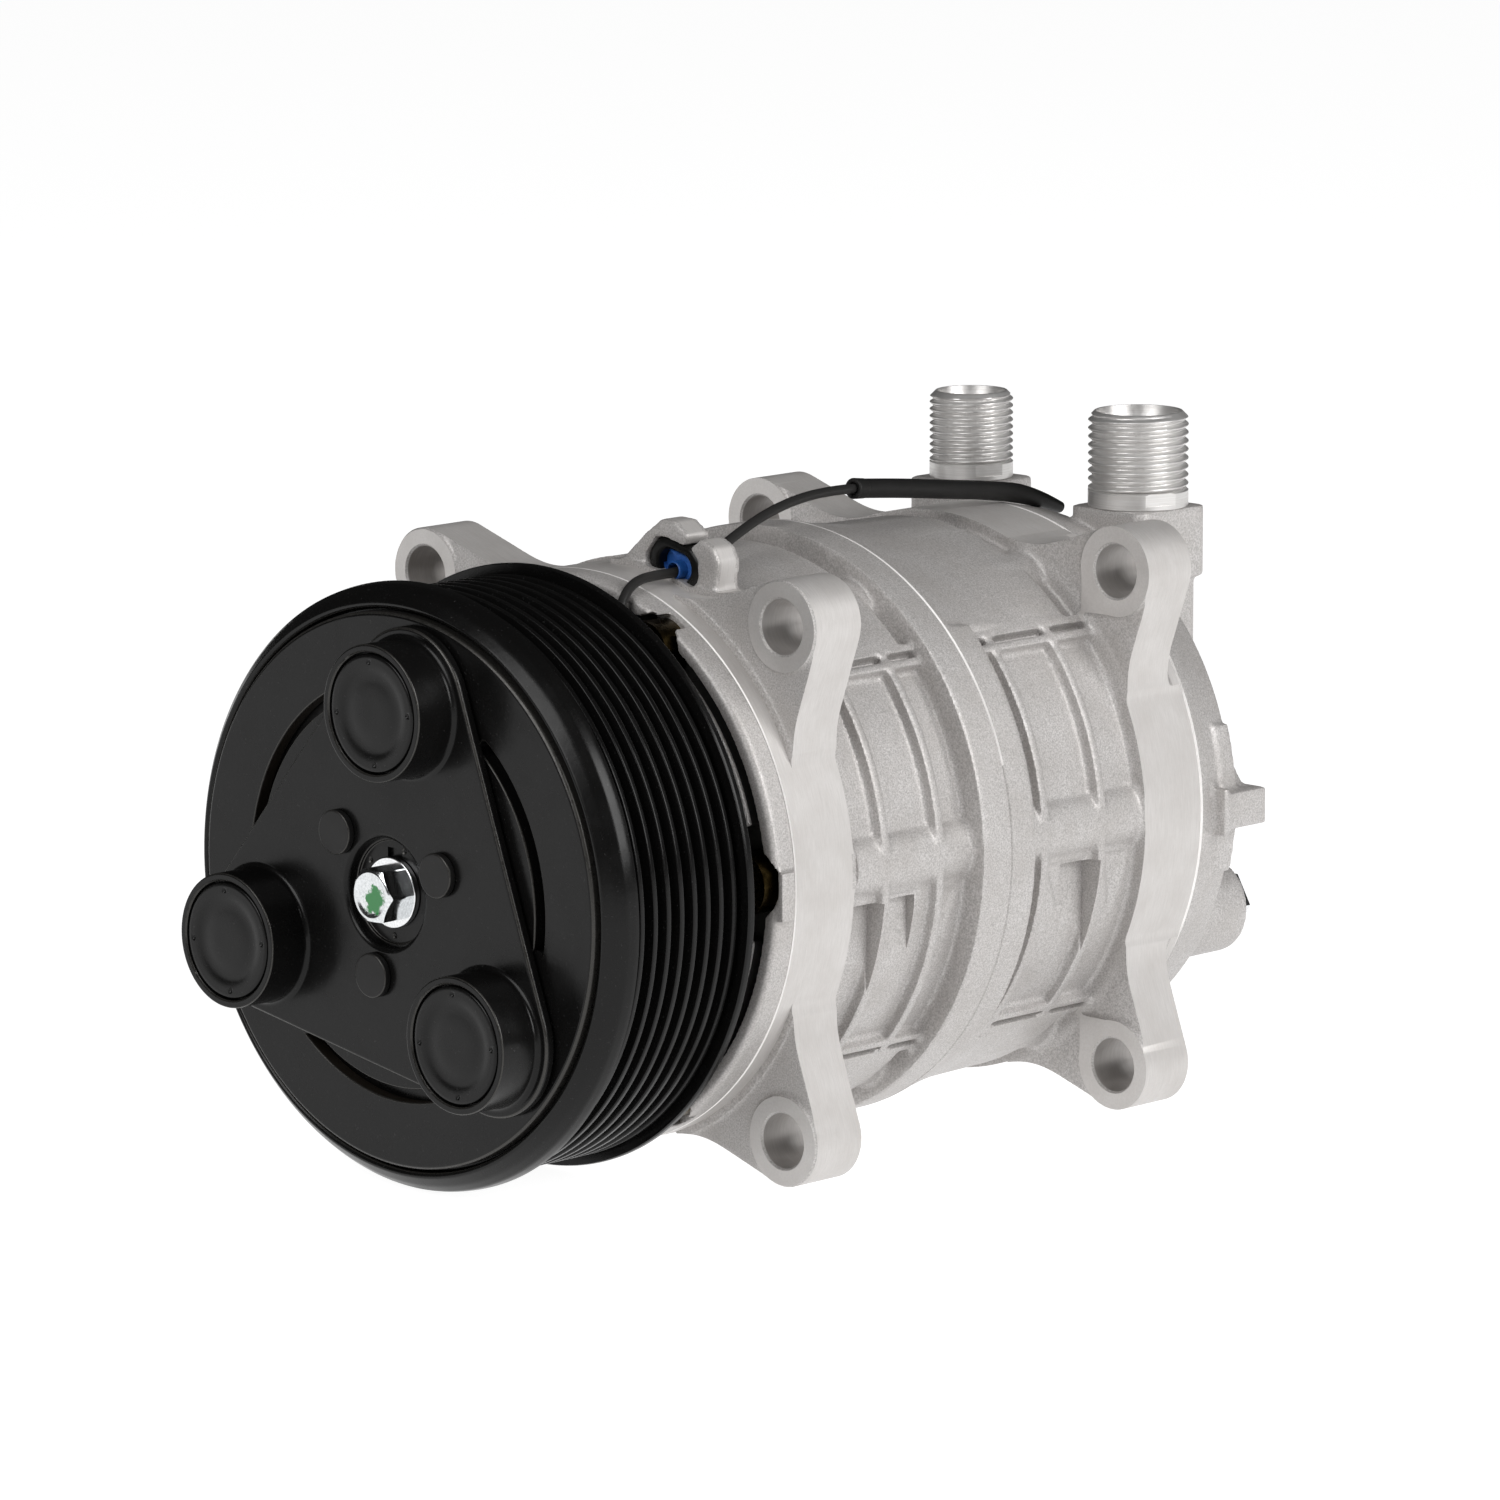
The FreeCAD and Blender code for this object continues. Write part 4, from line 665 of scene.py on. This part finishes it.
def front_block():
    fillers = [rod_mesh(BARREL_CORE, FRONT_SEAM - SPARE, MID_SEAM + SPARE, segments=192),
               rod_mesh(SEAM_RADIUS + STOCK, FRONT_SEAM - SPARE, EAR_THICKNESS - 0.5, segments=192),
               rod_mesh(RING_RADIUS, MID_SEAM - FRONT_RING_WIDTH + 0.3, MID_SEAM + SPARE, segments=192)]
    fillers += horn_fillers()
    fillers.append(prism_mesh(flange_ring(SEAM_RADIUS, STOCK, steps=720), EAR_RELIEF, EAR_THICKNESS))
    fillers += [rod_mesh(EAR_RADIUS - 0.5, -1.0, EAR_THICKNESS, centre) for centre in ear_centres()]
    horns_start, horns_end = GROMMET_FACE - 1.2, GROMMET_FACE + 5.7
    outside, front, rear = 61.5, FRONT_SEAM - 3, 0.5
    rim_side = [(SEAM_RADIUS, front), (outside, front), (outside, rear), (SEAM_RADIUS, rear)]
    cutters = [milled_side(SEAM_RADIUS, FRONT_SEAM - 3, horns_start),
               milled_side(SEAM_RADIUS, horns_start - 0.01, horns_end + 0.01, 61.0, 92.0),
               milled_side(SEAM_RADIUS, horns_end, EAR_THICKNESS + 0.7),
               slab(-20, FRONT_SEAM), slab(MID_SEAM, MID_SEAM + 20),
               seam_groove(RING_RADIUS, MID_SEAM, 0.3), seam_groove(SEAM_RADIUS, FRONT_SEAM, 0.22),
               turned("rim_side", rim_side),
               side_hollow(13.2, 21.5, 52.4, -24.0, RIB_RADIUS), side_hollow(23.2, 32.6, 52.4, -17.0)]
    obj = casting("front_block", fillers, cutters + ear_cutters(0.0))
    # The front seam's bevel gets the painted highlight.
    paint_faces(obj, CAST, (MILLED, on_side(FRONT_SEAM, EAR_THICKNESS)), (FACED, on_plane(0.0)),
                (BORED, in_ear_hole), (SEAM_PAINTED_HIGHLIGHT, near_seam(SEAM_RADIUS, FRONT_SEAM)))


def rear_block():
    start, end = REAR_EAR_FACE, REAR_EAR_FACE + EAR_THICKNESS
    fillers = [rod_mesh(BARREL_CORE, MID_SEAM - SPARE, REAR_SEAM + SPARE, segments=192),
               rod_mesh(REAR_SEAM_RADIUS + STOCK, start + 0.5, REAR_SEAM + SPARE, segments=192),
               rod_mesh(RING_RADIUS, MID_SEAM - SPARE, MID_SEAM + 1.0, segments=192)]
    ring_end = MID_SEAM + REAR_RING_WIDTH - 0.3
    fillers += [sector_mesh(50.0, RING_RADIUS, MID_SEAM - SPARE, ring_end, first, first + 92)
                for first in (-46, 134)]
    fillers.append(prism_mesh(flange_ring(REAR_SEAM_RADIUS, STOCK, steps=720), start + EAR_RELIEF, end))
    for x, z in ear_centres():
        pad_x, pad_z = x - math.copysign(9.0, x), z - math.copysign(9.0, z)
        fillers.append(prism_mesh([(x, z), (x, pad_z), (pad_x, pad_z), (pad_x, z)], start - 0.6, end - 4))
        fillers.append(rod_mesh(EAR_RADIUS, start - 0.8, end, (x, z)))
    cutters = [milled_side(REAR_SEAM_RADIUS, start - 0.2, REAR_SEAM + 3),
               slab(REAR_SEAM, REAR_SEAM + 20), slab(MID_SEAM - 20, MID_SEAM),
               seam_groove(RING_RADIUS, MID_SEAM, 0.3), seam_groove(REAR_SEAM_RADIUS, REAR_SEAM, 0.35),
               side_hollow(75.5, 84.6, 52.0, -25.0, RIB_RADIUS)]
    obj = casting("rear_block", fillers, cutters + ear_cutters(start))
    # The seams' bevels get the painted highlight; on the middle seam only above 18 mm, where light falls on it.
    paint_faces(obj, CAST, (MILLED, on_side(start, REAR_SEAM)), (FACED, on_plane(start)), (BORED, in_ear_hole),
                (SEAM_PAINTED_HIGHLIGHT, near_seam(RING_RADIUS, MID_SEAM, lowest=18.0)),
                (SEAM_PAINTED_HIGHLIGHT, near_seam(REAR_SEAM_RADIUS, REAR_SEAM)))


def front_head():
    """The bell behind the pulley; its ring groove and recesses get painted shade, a near-black finish."""
    fillers = [rod_mesh(SEAM_RADIUS, -4.6, FRONT_SEAM + SPARE, segments=192)]
    cutters = [slab(FRONT_SEAM, 20), seam_groove(SEAM_RADIUS, FRONT_SEAM, 0.35)]
    obj = casting("front_head", fillers, cutters, rounds=5)
    # Painted shade: the groove and recesses behind the pulley are made near black.
    paint_faces(obj, CAST, (RECESS_PAINTED_SHADE, lambda faces: (
        between(faces.radius, 44.8, 54.8) & between(faces.station, -8.9, -4.3))))


def rear_head():
    fillers = [rod_mesh(53.0, REAR_SEAM - SPARE, 122.0, segments=160),
               rod_mesh(REAR_SEAM_RADIUS, REAR_SEAM - SPARE, REAR_SEAM + 1.0, segments=192)]
    cutters = [slab(90, REAR_SEAM), seam_groove(REAR_SEAM_RADIUS, REAR_SEAM)]
    obj = casting("rear_head", fillers, cutters, voxel=0.55, rounds=6)
    # The rear seam's bevel gets the painted highlight.
    paint_faces(obj, CAST, (SEAM_PAINTED_HIGHLIGHT, near_seam(REAR_SEAM_RADIUS, REAR_SEAM)))


# ---------------------------------------------------------------- clutch
CUPS = around(CUP_PITCH, CUP_PHASE, 3)
RIVETS = around(RIVET_PITCH, RIVET_PHASE, 3)


def pulley():
    """The grooved rim, the lip round the friction face, and the bearing seat with its clip groove."""
    crest = RIM_RADIUS - CREST_DROP
    root = crest - GROOVE_DEPTH
    lip = softened([(BEARING_OUTER - 1.5, FRICTION_FACE), (LIP_RADIUS, FRICTION_FACE),
                    (LIP_RADIUS, FRICTION_FACE - 2.0), (LIP_RADIUS + 0.9, FRICTION_FACE - 2.5),
                    (RIM_RADIUS - 1.6, FRICTION_FACE - 0.6), (RIM_RADIUS - 0.3, FRICTION_FACE + 1.2),
                    (RIM_RADIUS, LIP_START), (RIM_RADIUS, LIP_START + 0.9)], 0.55, closed=False)
    grooves = []
    for index in range(CREST_COUNT):
        middle = FIRST_CREST + GROOVE_PITCH * index
        before = middle - GROOVE_PITCH / 2
        grooves += [(root, before - 0.5 if index else before - 0.3), (root, before + 0.5)]
        grooves += [(crest, middle - 0.55), (crest, middle + 0.55)]
    last = FIRST_CREST + GROOVE_PITCH * (CREST_COUNT - 0.5)
    grooves += [(root, last - 0.5), (root, last + 0.5)]
    web = COIL_OUTER + 0.9
    rear = softened([(RIM_RADIUS - 0.2, PULLEY_REAR - 1.7), (RIM_RADIUS, PULLEY_REAR - 1.3),
                     (RIM_RADIUS, PULLEY_REAR), (web, PULLEY_REAR)], 0.3, closed=False)
    face_back, shell, shell_end = FRICTION_FACE + 4.0, BEARING_OUTER + 4.2, PULLEY_REAR - 4.4
    clip, clip_root = BEARING_FRONT + BEARING_WIDTH, BEARING_OUTER + 0.8
    inside = [(web, face_back), (shell, face_back), (shell, shell_end), (BEARING_OUTER, shell_end),
              (BEARING_OUTER, clip + 1.3), (clip_root, clip + 1.3), (clip_root, clip), (BEARING_OUTER, clip),
              (BEARING_OUTER, BEARING_FRONT), (BEARING_OUTER - 1.5, BEARING_FRONT)]
    profile = lip + softened(grooves, 0.3, closed=False) + rear + inside
    obj = shade(as_object("pulley_coated", turned("pulley_coated", profile, 288)), 50, True)
    paint_faces(obj, BLACK, (WORN, lambda faces: (
        between(faces.radius, LIP_RADIUS - 0.1, LIP_RADIUS + 0.3) & (faces.station < FRICTION_FACE - 1.6))))
    fitted(obj, "pulley", "black_coat", "pulley")


def slot_outline(middle, grow, steps=40):
    """(x, z) outline of one armature slot with rounded ends, made larger all round."""
    centre_line, half = (SLOT_INNER + SLOT_OUTER) / 2, (SLOT_OUTER - SLOT_INNER) / 2 + grow
    reach = SLOT_HALF_TURN - (SLOT_OUTER - SLOT_INNER) / 2 / centre_line
    outline = []
    for side in (1, -1):
        radius = centre_line + side * half
        outline += [polar(radius, middle + side * reach * (2 * k / steps - 1)) for k in range(steps + 1)]
        end = middle + side * reach
        start = end + (0 if side > 0 else math.pi)
        outline += [polar(half, start + side * math.pi * k / 8, polar(centre_line, end)) for k in range(1, 8)]
    return outline


def armature():
    """The plate with its three arc slots, worn at the rim and along the slots."""
    back = FRICTION_FACE - AIR_GAP - CONTACT_GAP
    front = FRICTION_FACE - AIR_GAP - ARMATURE_THICKNESS
    inner = 26.5
    profile = softened([(inner, front), (ARMATURE_RADIUS - 0.6, front), (ARMATURE_RADIUS, front + 0.5),
                        (ARMATURE_RADIUS, back), (inner, back)], 0.3)
    obj = as_object("armature_coated", turned("armature_coated", profile, 256))
    flare = ((front - 0.5, 0.55), (front, 0.3), (front + 0.12, 0.1), (front + 0.35, 0.0), (back + 1.0, 0.0))
    cutters = [loft("slot", [(y, slot_outline(RIVET_PHASE + 2 * math.pi * k / 3, grow)) for y, grow in flare])
               for k in range(3)]
    cutters += [rod_mesh(PIN_HOLE, front - 1, back + 1, cup, 64) for cup in CUPS]
    shade(combined(obj, cutters), 40, True)
    paint_faces(obj, BLACK,
                (WORN, lambda faces: (faces.radius > ARMATURE_RADIUS - 0.7) & (faces.lean > -0.9)),
                (RUSTY, lambda faces: ((np.abs(faces.lean) < 0.5)
                                       & between(faces.radius, SLOT_OUTER - 0.3, SLOT_OUTER + 0.3))),
                (WORN, lambda faces: ((np.abs(faces.lean) < 0.93) & (faces.station < front + 0.4)
                                      & between(faces.radius, SLOT_INNER - 0.8, SLOT_OUTER + 0.8))))
    fitted(obj, "armature", "black_coat", "armature_plate")


def plate_outline(grow, steps=30):
    """(x, z) outline of the hub plate: three lobes joined by straight sides, made larger all round."""
    outline = []
    for cup in CUPS:
        middle = math.atan2(cup[1], cup[0])
        outline += [polar(LOBE_RADIUS + grow, middle + math.pi / 3 * (2 * k / steps - 1), cup)
                    for k in range(steps + 1)]
    return outline


def hub_plate():
    """The three-lobed plate with its pressed cups, the rivet holes and the mouth round the boss."""
    back = PLATE_FACE + PLATE_THICKNESS
    shape = ((0.0, -0.75), (0.06, -0.45), (0.2, -0.2), (0.45, -0.04), (0.8, 0.0), (PLATE_THICKNESS - 0.3, 0.0),
             (PLATE_THICKNESS, -0.3))
    obj = as_object("hub_plate_coated", eased("hub_plate_coated", PLATE_FACE, shape, plate_outline))
    inner, root, floor = CUP_RADIUS - CUP_WALL, 1.1, back - 1.2
    bend = [(CUP_RADIUS + root - root * math.cos(a), PLATE_FACE - root + root * math.sin(a))
            for a in (math.radians(15 * k) for k in range(7))]
    side = softened([(inner - 1, CUP_FACE), (CUP_RADIUS, CUP_FACE), bend[0]], 0.45, 6, closed=False)
    cup = side + bend[1:] + [(CUP_RADIUS + root, back - 0.3), (inner - 1, back - 0.3)]
    combined(obj, [turned("cup", cup, 128, centre) for centre in CUPS], "UNION")
    hollow = [(0, CUP_FACE - 1), (inner + 0.7, CUP_FACE - 1), (inner + 0.3, CUP_FACE), (inner, CUP_FACE + 0.35),
              (inner, floor), (8.5, floor), (8.5, back + 1), (0, back + 1)]
    mouth = [(0, PLATE_FACE - 1), (CENTRE_HOLE + 1.6, PLATE_FACE - 1), (CENTRE_HOLE + 1.2, PLATE_FACE - 0.02),
             (CENTRE_HOLE + 0.55, PLATE_FACE + 0.14), (CENTRE_HOLE + 0.15, PLATE_FACE + 0.5),
             (CENTRE_HOLE, PLATE_FACE + 1.1), (CENTRE_HOLE, back + 1), (0, back + 1)]
    cutters = [turned("hollow", hollow, 128, centre) for centre in CUPS] + [turned("mouth", mouth, 160)]
    cutters += [rod_mesh(RIVET_HOLE, PLATE_FACE - 1, back + 1, centre, 48) for centre in RIVETS]
    shade(combined(obj, cutters), 40, True)
    paint_faces(obj, BLACK, (WORN, lambda faces: worn_edges()(faces) & (
        (faces.station < CUP_FACE + 0.4) | ((faces.station > PLATE_FACE + 0.02) & (faces.radius > 20)))))
    fitted(obj, "drive", "black_coat", "hub_plate")


def damper_discs():
    """Pins whose dished heads close the cups, each with four small punch marks."""
    back, under = FRICTION_FACE - AIR_GAP - CONTACT_GAP, CUP_FACE + 2.0
    face = CUP_FACE + 0.25
    dish = softened([(0, face + 0.11), (4.2, face + 0.11), (7.3, face + 0.41), (9.3, face), (10.6, face)],
                    1.6, 6, closed=False)
    profile = dish + [(11.2, face), (11.5, face + 0.3), (11.5, under), (4.0, under), (4.0, back), (0, back)]
    mark = [(0, face + 0.45), (0.3, face + 0.3), (0.75, face - 0.2), (0, face - 0.2)]
    marks = [turned("mark", mark, 20, (x + mark_x, z + mark_z)) for x, z in CUPS
             for mark_x, mark_z in around(9.9, math.radians(4), 4)]
    discs = joined("damper_discs", [turned("disc", profile, 128, centre) for centre in CUPS])
    obj = shade(combined(as_object("damper_discs", discs), marks), 50, True)
    paint_faces(obj, BLACK)
    fitted(obj, "armature", "black_coat", "damper_pins")


def hub_rivets():
    top, shank, tail, end = PLATE_FACE - 1.6, 2.5, 3.6, FLANGE_BACK + 1.2
    profile = softened([(0, top), (RIVET_HEAD, top), (RIVET_HEAD, PLATE_FACE), (shank, PLATE_FACE),
                        (shank, FLANGE_BACK), (tail, FLANGE_BACK), (tail, end), (0, end)], 0.4, closed=False)
    heads = joined("rivet_heads", [turned("rivet", profile, 72, centre) for centre in RIVETS])
    obj = shade(as_object("rivet_heads", heads), 50, True)
    paint_faces(obj, BROWNED, (WORN, worn_edges(0.2, 0.95)))
    fitted(obj, "drive", "sintered_steel", "hub_rivets")


def hub_boss():
    """The keyed boss, with a recessed face and three punch marks round the washer."""
    flange, rear = PLATE_FACE + PLATE_THICKNESS, -46.4
    outer, flange_radius = CENTRE_HOLE - 0.6, 22.5
    profile = softened([(BOSS_BORE, BOSS_FACE), (outer, BOSS_FACE), (outer, flange), (flange_radius, flange),
                        (flange_radius, FLANGE_BACK), (CENTRE_HOLE, FLANGE_BACK), (CENTRE_HOLE, rear),
                        (BOSS_BORE, rear)], 0.35, closed=False)
    obj = as_object("hub_boss_coated", turned("hub_boss_coated", profile, 160))
    cutters = [box_mesh((-2, 2), (BOSS_FACE - 1, rear + 0.4), (6, 8.6))]
    cutters += [rod_mesh(RIVET_HOLE, flange - 1, flange + 4, centre, 48) for centre in RIVETS]
    mark = [(0, BOSS_FACE + 0.3), (0.45, BOSS_FACE + 0.25), (0.9, BOSS_FACE - 0.2), (0, BOSS_FACE - 0.2)]
    cutters += [turned("mark", mark, 20, polar(8.7, math.radians(turn))) for turn in (72, 142, 268)]
    shade(combined(obj, cutters), 40, True)
    paint_faces(obj, BLACK, (WORN, lambda faces: (
        worn_edges(0.2, 0.97)(faces) & (faces.station < BOSS_FACE + 0.4))))
    fitted(obj, "drive", "sintered_steel", "hub_boss")


def hub_bolt():
    """Chamfered hexagon head with a slightly dished face, and its shank."""
    top = WASHER_FACE - HEAD_HEIGHT
    hexagon = softened(around(ACROSS_FLATS / math.sqrt(3.0), 0.0, 6), 0.35)
    obj = as_object("bolt_head", prism_mesh(hexagon, top - 1, WASHER_FACE))
    form = softened([(0, top + 0.3), (3.4, top + 0.25), (4.3, top), (4.75, top), (5.95, top + 0.8),
                     (5.95, WASHER_FACE), (0, WASHER_FACE)], 0.25, closed=False)
    combined(obj, [turned("form", form, 128)], "INTERSECT")
    combined(obj, [rod_mesh(3.0, WASHER_FACE - 0.5, -40.0, segments=64)], "UNION")
    shade(obj, 28, True)
    paint_faces(obj, BOLT)
    fitted(obj, "drive", "zinc_steel", "hub_bolt")


def hub_washer():
    inner, outer = 3.2, 7.0
    profile = softened([(inner, WASHER_FACE), (outer, WASHER_FACE), (outer, BOSS_FACE),
                        (inner, BOSS_FACE)], 0.3)
    obj = shade(as_object("bright_washer", turned("bright_washer", profile, 128)), 50, True)
    paint_faces(obj, ZINC)
    fitted(obj, "drive", "zinc_steel", "hub_washer")


# ---------------------------------------------------------------- fittings
def fitting(name, node, x, thread, bore, shank, bottom, pitch, segments=144):
    """A turned fitting about a vertical axis: collar with a wrench flat, helical thread and a hollow top."""
    depth, collar, flat_heading = 0.5 * pitch, 3.6, math.radians(-20)
    thread_from = bottom + collar
    below = ((bore, bottom - 8.0), (shank, bottom - 8.0), (shank, bottom), (thread - 0.2, bottom),
             (thread, bottom + 0.2), (thread, thread_from - 0.3), (thread - 0.35, thread_from))
    mouth = ((thread - 1.35, FITTING_TOP), (thread - 1.6, FITTING_TOP), (thread - 1.75, FITTING_TOP - 0.15),
             (bore + 0.9, FITTING_TOP - 3.2), (bore, FITTING_TOP - 4.4))
    rows = [[point] * segments for point in below]
    step = pitch / 12
    for k in range(int((FITTING_TOP - 0.02 - thread_from) / step) + 1):
        height = thread_from + step * k
        chamfer = thread - 1.3 + (FITTING_TOP - height)
        row = []
        for j in range(segments):
            phase = 2 * math.pi * ((height - thread_from) / pitch - j / segments)
            ridge = thread - depth * (0.5 + 0.5 * math.cos(phase))
            row.append((min(ridge, chamfer), height))
        rows.append(row)
    rows += [[point] * segments for point in mouth]
    points, faces = [], []
    for row in rows:
        for j, (radius, height) in enumerate(row):
            px, py = polar(radius, 2 * math.pi * j / segments, (x, PORT_STATION))
            points.append((px, py, height))
    count = len(rows)
    for i in range(count):
        one, two = i * segments, (i + 1) % count * segments
        for j in range(segments):
            k = (j + 1) % segments
            faces.append([one + j, one + k, two + k, two + j])
    obj = as_object(name, outward(mesh_from(name, points, faces)))
    flat = box_mesh((thread - 0.55, thread + 6), (-4.0, 4.0), (bottom + 1.0, bottom + collar - 0.05))
    flat.transform(Matrix.Translation((x * MM, PORT_STATION * MM, 0)) @ Matrix.Rotation(flat_heading, 4, "Z"))
    shade(combined(obj, [flat]), 38, True)
    paint_faces(obj, TURNED)
    fitted(obj, "casing", "machined_aluminium", node)


# ---------------------------------------------------------------- grommet and lead
def stadium(half_length, half_height, steps=16):
    """Gives the (x, z) outline of a stadium round the middle of the grommet, made larger all round."""
    def outline(grow):
        points = []
        for side in (1, -1):
            for k in range(steps + 1):
                along, out = polar(half_height + grow, -math.pi / 2 + math.pi * k / steps)
                points.append(beside_grommet(side * (half_length - half_height + along), side * out))
        return points
    return outline


def grommet():
    """Black rubber stadium with rounded edges and a window for the insert."""
    shape = ((-0.1, -1.1), (0.05, -0.6), (0.35, -0.2), (0.8, 0.0), (GROMMET_DEPTH, 0.0))
    obj = as_object("grommet_rubber", eased("grommet_rubber", GROMMET_FACE, shape, stadium(7.4, 4.8)))
    opening = ((-1.0, 0.9), (-0.1, 0.5), (0.2, 0.15), (0.6, 0.0), (3.2, 0.0))
    window = eased("window", GROMMET_FACE, opening, stadium(4.5, 2.7))
    passage = rod_mesh(WIRE_HOLE, GROMMET_FACE - 2, GROMMET_FACE + GROMMET_DEPTH + 2, LEAD_IN_GROMMET, 48)
    shade(combined(obj, [window, passage]), 35)
    paint_faces(obj, GLOSSY_RUBBER)
    fitted(obj, "casing", "black_rubber", "lead_grommet")


def insert():
    """Blue two-hole insert, with a raised collar round the wire."""
    front = GROMMET_FACE + 1.0
    shape = ((0.0, -0.5), (0.15, -0.2), (0.5, 0.0), (2.1, 0.0))
    obj = as_object("insert_blue", eased("insert_blue", front, shape, stadium(4.4, 2.6)))
    top, foot = front + 0.6, front - 2.2
    collar = softened([(0, foot), (1.75, foot), (2.0, top), (0, top)], 0.3, closed=False)
    combined(obj, [turned("collar", collar, 48, LEAD_IN_GROMMET)], "UNION")
    passage = rod_mesh(WIRE_HOLE, GROMMET_FACE - 3, front + 4, LEAD_IN_GROMMET, 48)
    spare = rod_mesh(1.9, GROMMET_FACE - 2, GROMMET_FACE + 2.4, beside_grommet(-2.7, 0.2), 48)
    shade(combined(obj, [passage, spare]), 35)
    paint_faces(obj, SLOT_FINISH["blue_rubber"])
    fitted(obj, "casing", "blue_rubber", "grommet_insert")


LEAD_ROUTE = [
    (0.0206, -0.0152, 0.0436), (0.0203, -0.0152, 0.0477), (0.0192, -0.0134, 0.0521), (0.0176, -0.0099, 0.0555),
    (0.0163, -0.0053, 0.0571), (0.0156, 0.0005, 0.0573), (0.0153, 0.0075, 0.0571), (0.0151, 0.0144, 0.0584),
    (0.0139, 0.0226, 0.0617), (0.0114, 0.0350, 0.0652), (0.0086, 0.0490, 0.0670), (0.0064, 0.0630, 0.0668),
    (0.0052, 0.0790, 0.0652), (0.0040, 0.0960, 0.0630), (0.0030, 0.1110, 0.0611), (0.0025, 0.1230, 0.0589),
    (0.0022, 0.1325, 0.0552),
]
SLEEVE_START = (0.0061, 0.0675, 0.0664)


def cord_curve(name, points, radius, material, thickness=()):
    """A smooth round cord that follows the points, with the thickness of its last points scaled."""
    curve = bpy.data.curves.new(name, "CURVE")
    curve.dimensions = "3D"
    curve.bevel_depth, curve.bevel_resolution = radius, 8
    curve.use_fill_caps = True
    curve.resolution_u = 14
    spline = curve.splines.new("NURBS")
    spline.points.add(len(points) - 1)
    for item, place in zip(spline.points, points):
        item.co = (*place, 1.0)
    for item, scale in zip(reversed(spline.points), thickness):
        item.radius = scale
    spline.order_u = 3
    spline.use_endpoint_u = True
    curve.materials.append(material)
    return linked(name, curve)


def sleeve_mouth():
    """The thin cut edge of the sleeve, open round the wire."""
    start = Vector(SLEEVE_START)
    ahead = (Vector(LEAD_ROUTE[SLEEVE_FROM + 1]) - start).normalized()
    profile = softened([(1.25, -1.6), (1.85, -1.75), (2.15, -1.5), (2.06, 1.6), (1.3, 1.6)], 0.14)
    mesh = turned("sleeve_mouth", profile, 64)
    mesh.transform(Matrix.Translation(start) @ ahead.to_track_quat("Y", "Z").to_matrix().to_4x4())
    obj = shade(as_object("sleeve_mouth", mesh, SLEEVE), 50)
    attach(obj, "casing")
    return obj


def lead():
    wire = cord_curve("wire", LEAD_ROUTE[:SLEEVE_FROM + 1] + [SLEEVE_START], 0.001, WIRE)
    sleeve = cord_curve("sleeve", [SLEEVE_START] + LEAD_ROUTE[SLEEVE_FROM + 1:], 0.002, SLEEVE, (0.6, 1.05))
    mouth = sleeve_mouth()
    fitted(wire, "casing", "cable_sheath", "lead_wire")
    fitted(sleeve, "casing", "heat_shrink", "wire_sleeve")


# ---------------------------------------------------------------- stage, lights and camera
def area_light(name, place, aim, power, width):
    """A square softbox."""
    data = bpy.data.lights.new(name, "AREA")
    data.shape = "RECTANGLE"
    data.size, data.size_y = width, width
    data.energy = power
    obj = linked(name, data)
    obj.location = place
    obj.rotation_mode = "QUATERNION"
    obj.rotation_quaternion = (Vector(aim) - Vector(place)).to_track_quat("-Z", "Y")


def stage():
    """A pale floor that glows a little, a dim room that is lighter to the right, and two softboxes."""
    reach = 40.0
    mesh = bpy.data.meshes.new("floor")
    mesh.from_pydata([(i * reach, k * reach, cad_low.z) for i, k in ((-1, -1), (1, -1), (1, 1), (-1, 1))], [],
                     [(0, 1, 2, 3)])
    paper = Finish("floor_paper")
    paper.set(color=paper.mix(paper.noise(400.0), (0.3, 0.3, 0.3), (0.32, 0.32, 0.32)), roughness=1.0,
              specular=0.0, emission=(1.0, 1.0, 1.0), glow=0.95)
    as_object("floor", mesh, paper.material)

    world = bpy.data.worlds.new("studio")
    bpy.context.scene.world = world
    sky = Nodes(world, "Generated")
    apart = sky.node("ShaderNodeSeparateXYZ", {0: sky.place})
    rightward = sky.ramp(apart.outputs["X"], 0.45, 1.0, -1.0, 1.0)
    upward = sky.ramp(apart.outputs["Z"], 1.0, 0.55, 0.0, 0.9)
    sky.fill(sky.tree.nodes["Background"].inputs["Strength"], sky.math("MULTIPLY", rightward, upward))

    middle = (0.0, 0.03, 0.0)
    area_light("right_softbox", (1.5, 0.35, 0.85), middle, 25, 1.1)
    area_light("front_softbox", (0.1, -1.45, 1.1), middle, 19, 1.2)
    bpy.context.scene.view_settings.view_transform = "Standard"


def camera():
    azimuth, elevation, roll = math.radians(44.461), math.radians(10.071), math.radians(-0.184)
    distance, target = 1.59528, Vector((0.041745, -0.000223, 0.025769))
    back = Vector((math.sin(azimuth) * math.cos(elevation), -math.cos(azimuth) * math.cos(elevation),
                   math.sin(elevation)))
    data = bpy.data.cameras.new("camera")
    data.sensor_width, data.lens = 36.0, 197.09
    data.clip_start, data.clip_end = 0.05, 200.0
    obj = linked("camera", data)
    obj.location = target + back * distance
    obj.rotation_mode = "QUATERNION"
    facing = (-back).to_track_quat("-Z", "Y")
    obj.rotation_quaternion = facing @ Matrix.Rotation(roll, 4, "Z").to_quaternion()
    bpy.context.scene.camera = obj


finish_cad_nodes()
front_block()
rear_block()
front_head()
rear_head()
pulley()
armature()
hub_plate()
damper_discs()
hub_rivets()
hub_boss()
hub_washer()
hub_bolt()
fitting("left_fitting", "discharge_fitting", -PORT_OFFSET,
        thread=8.8, bore=5.6, shank=7.0, bottom=59.2, pitch=1.5)
fitting("right_fitting", "suction_fitting", PORT_OFFSET,
        thread=10.4, bore=7.2, shank=8.6, bottom=57.8, pitch=1.75)
grommet()
insert()
lead()
stage()
camera()
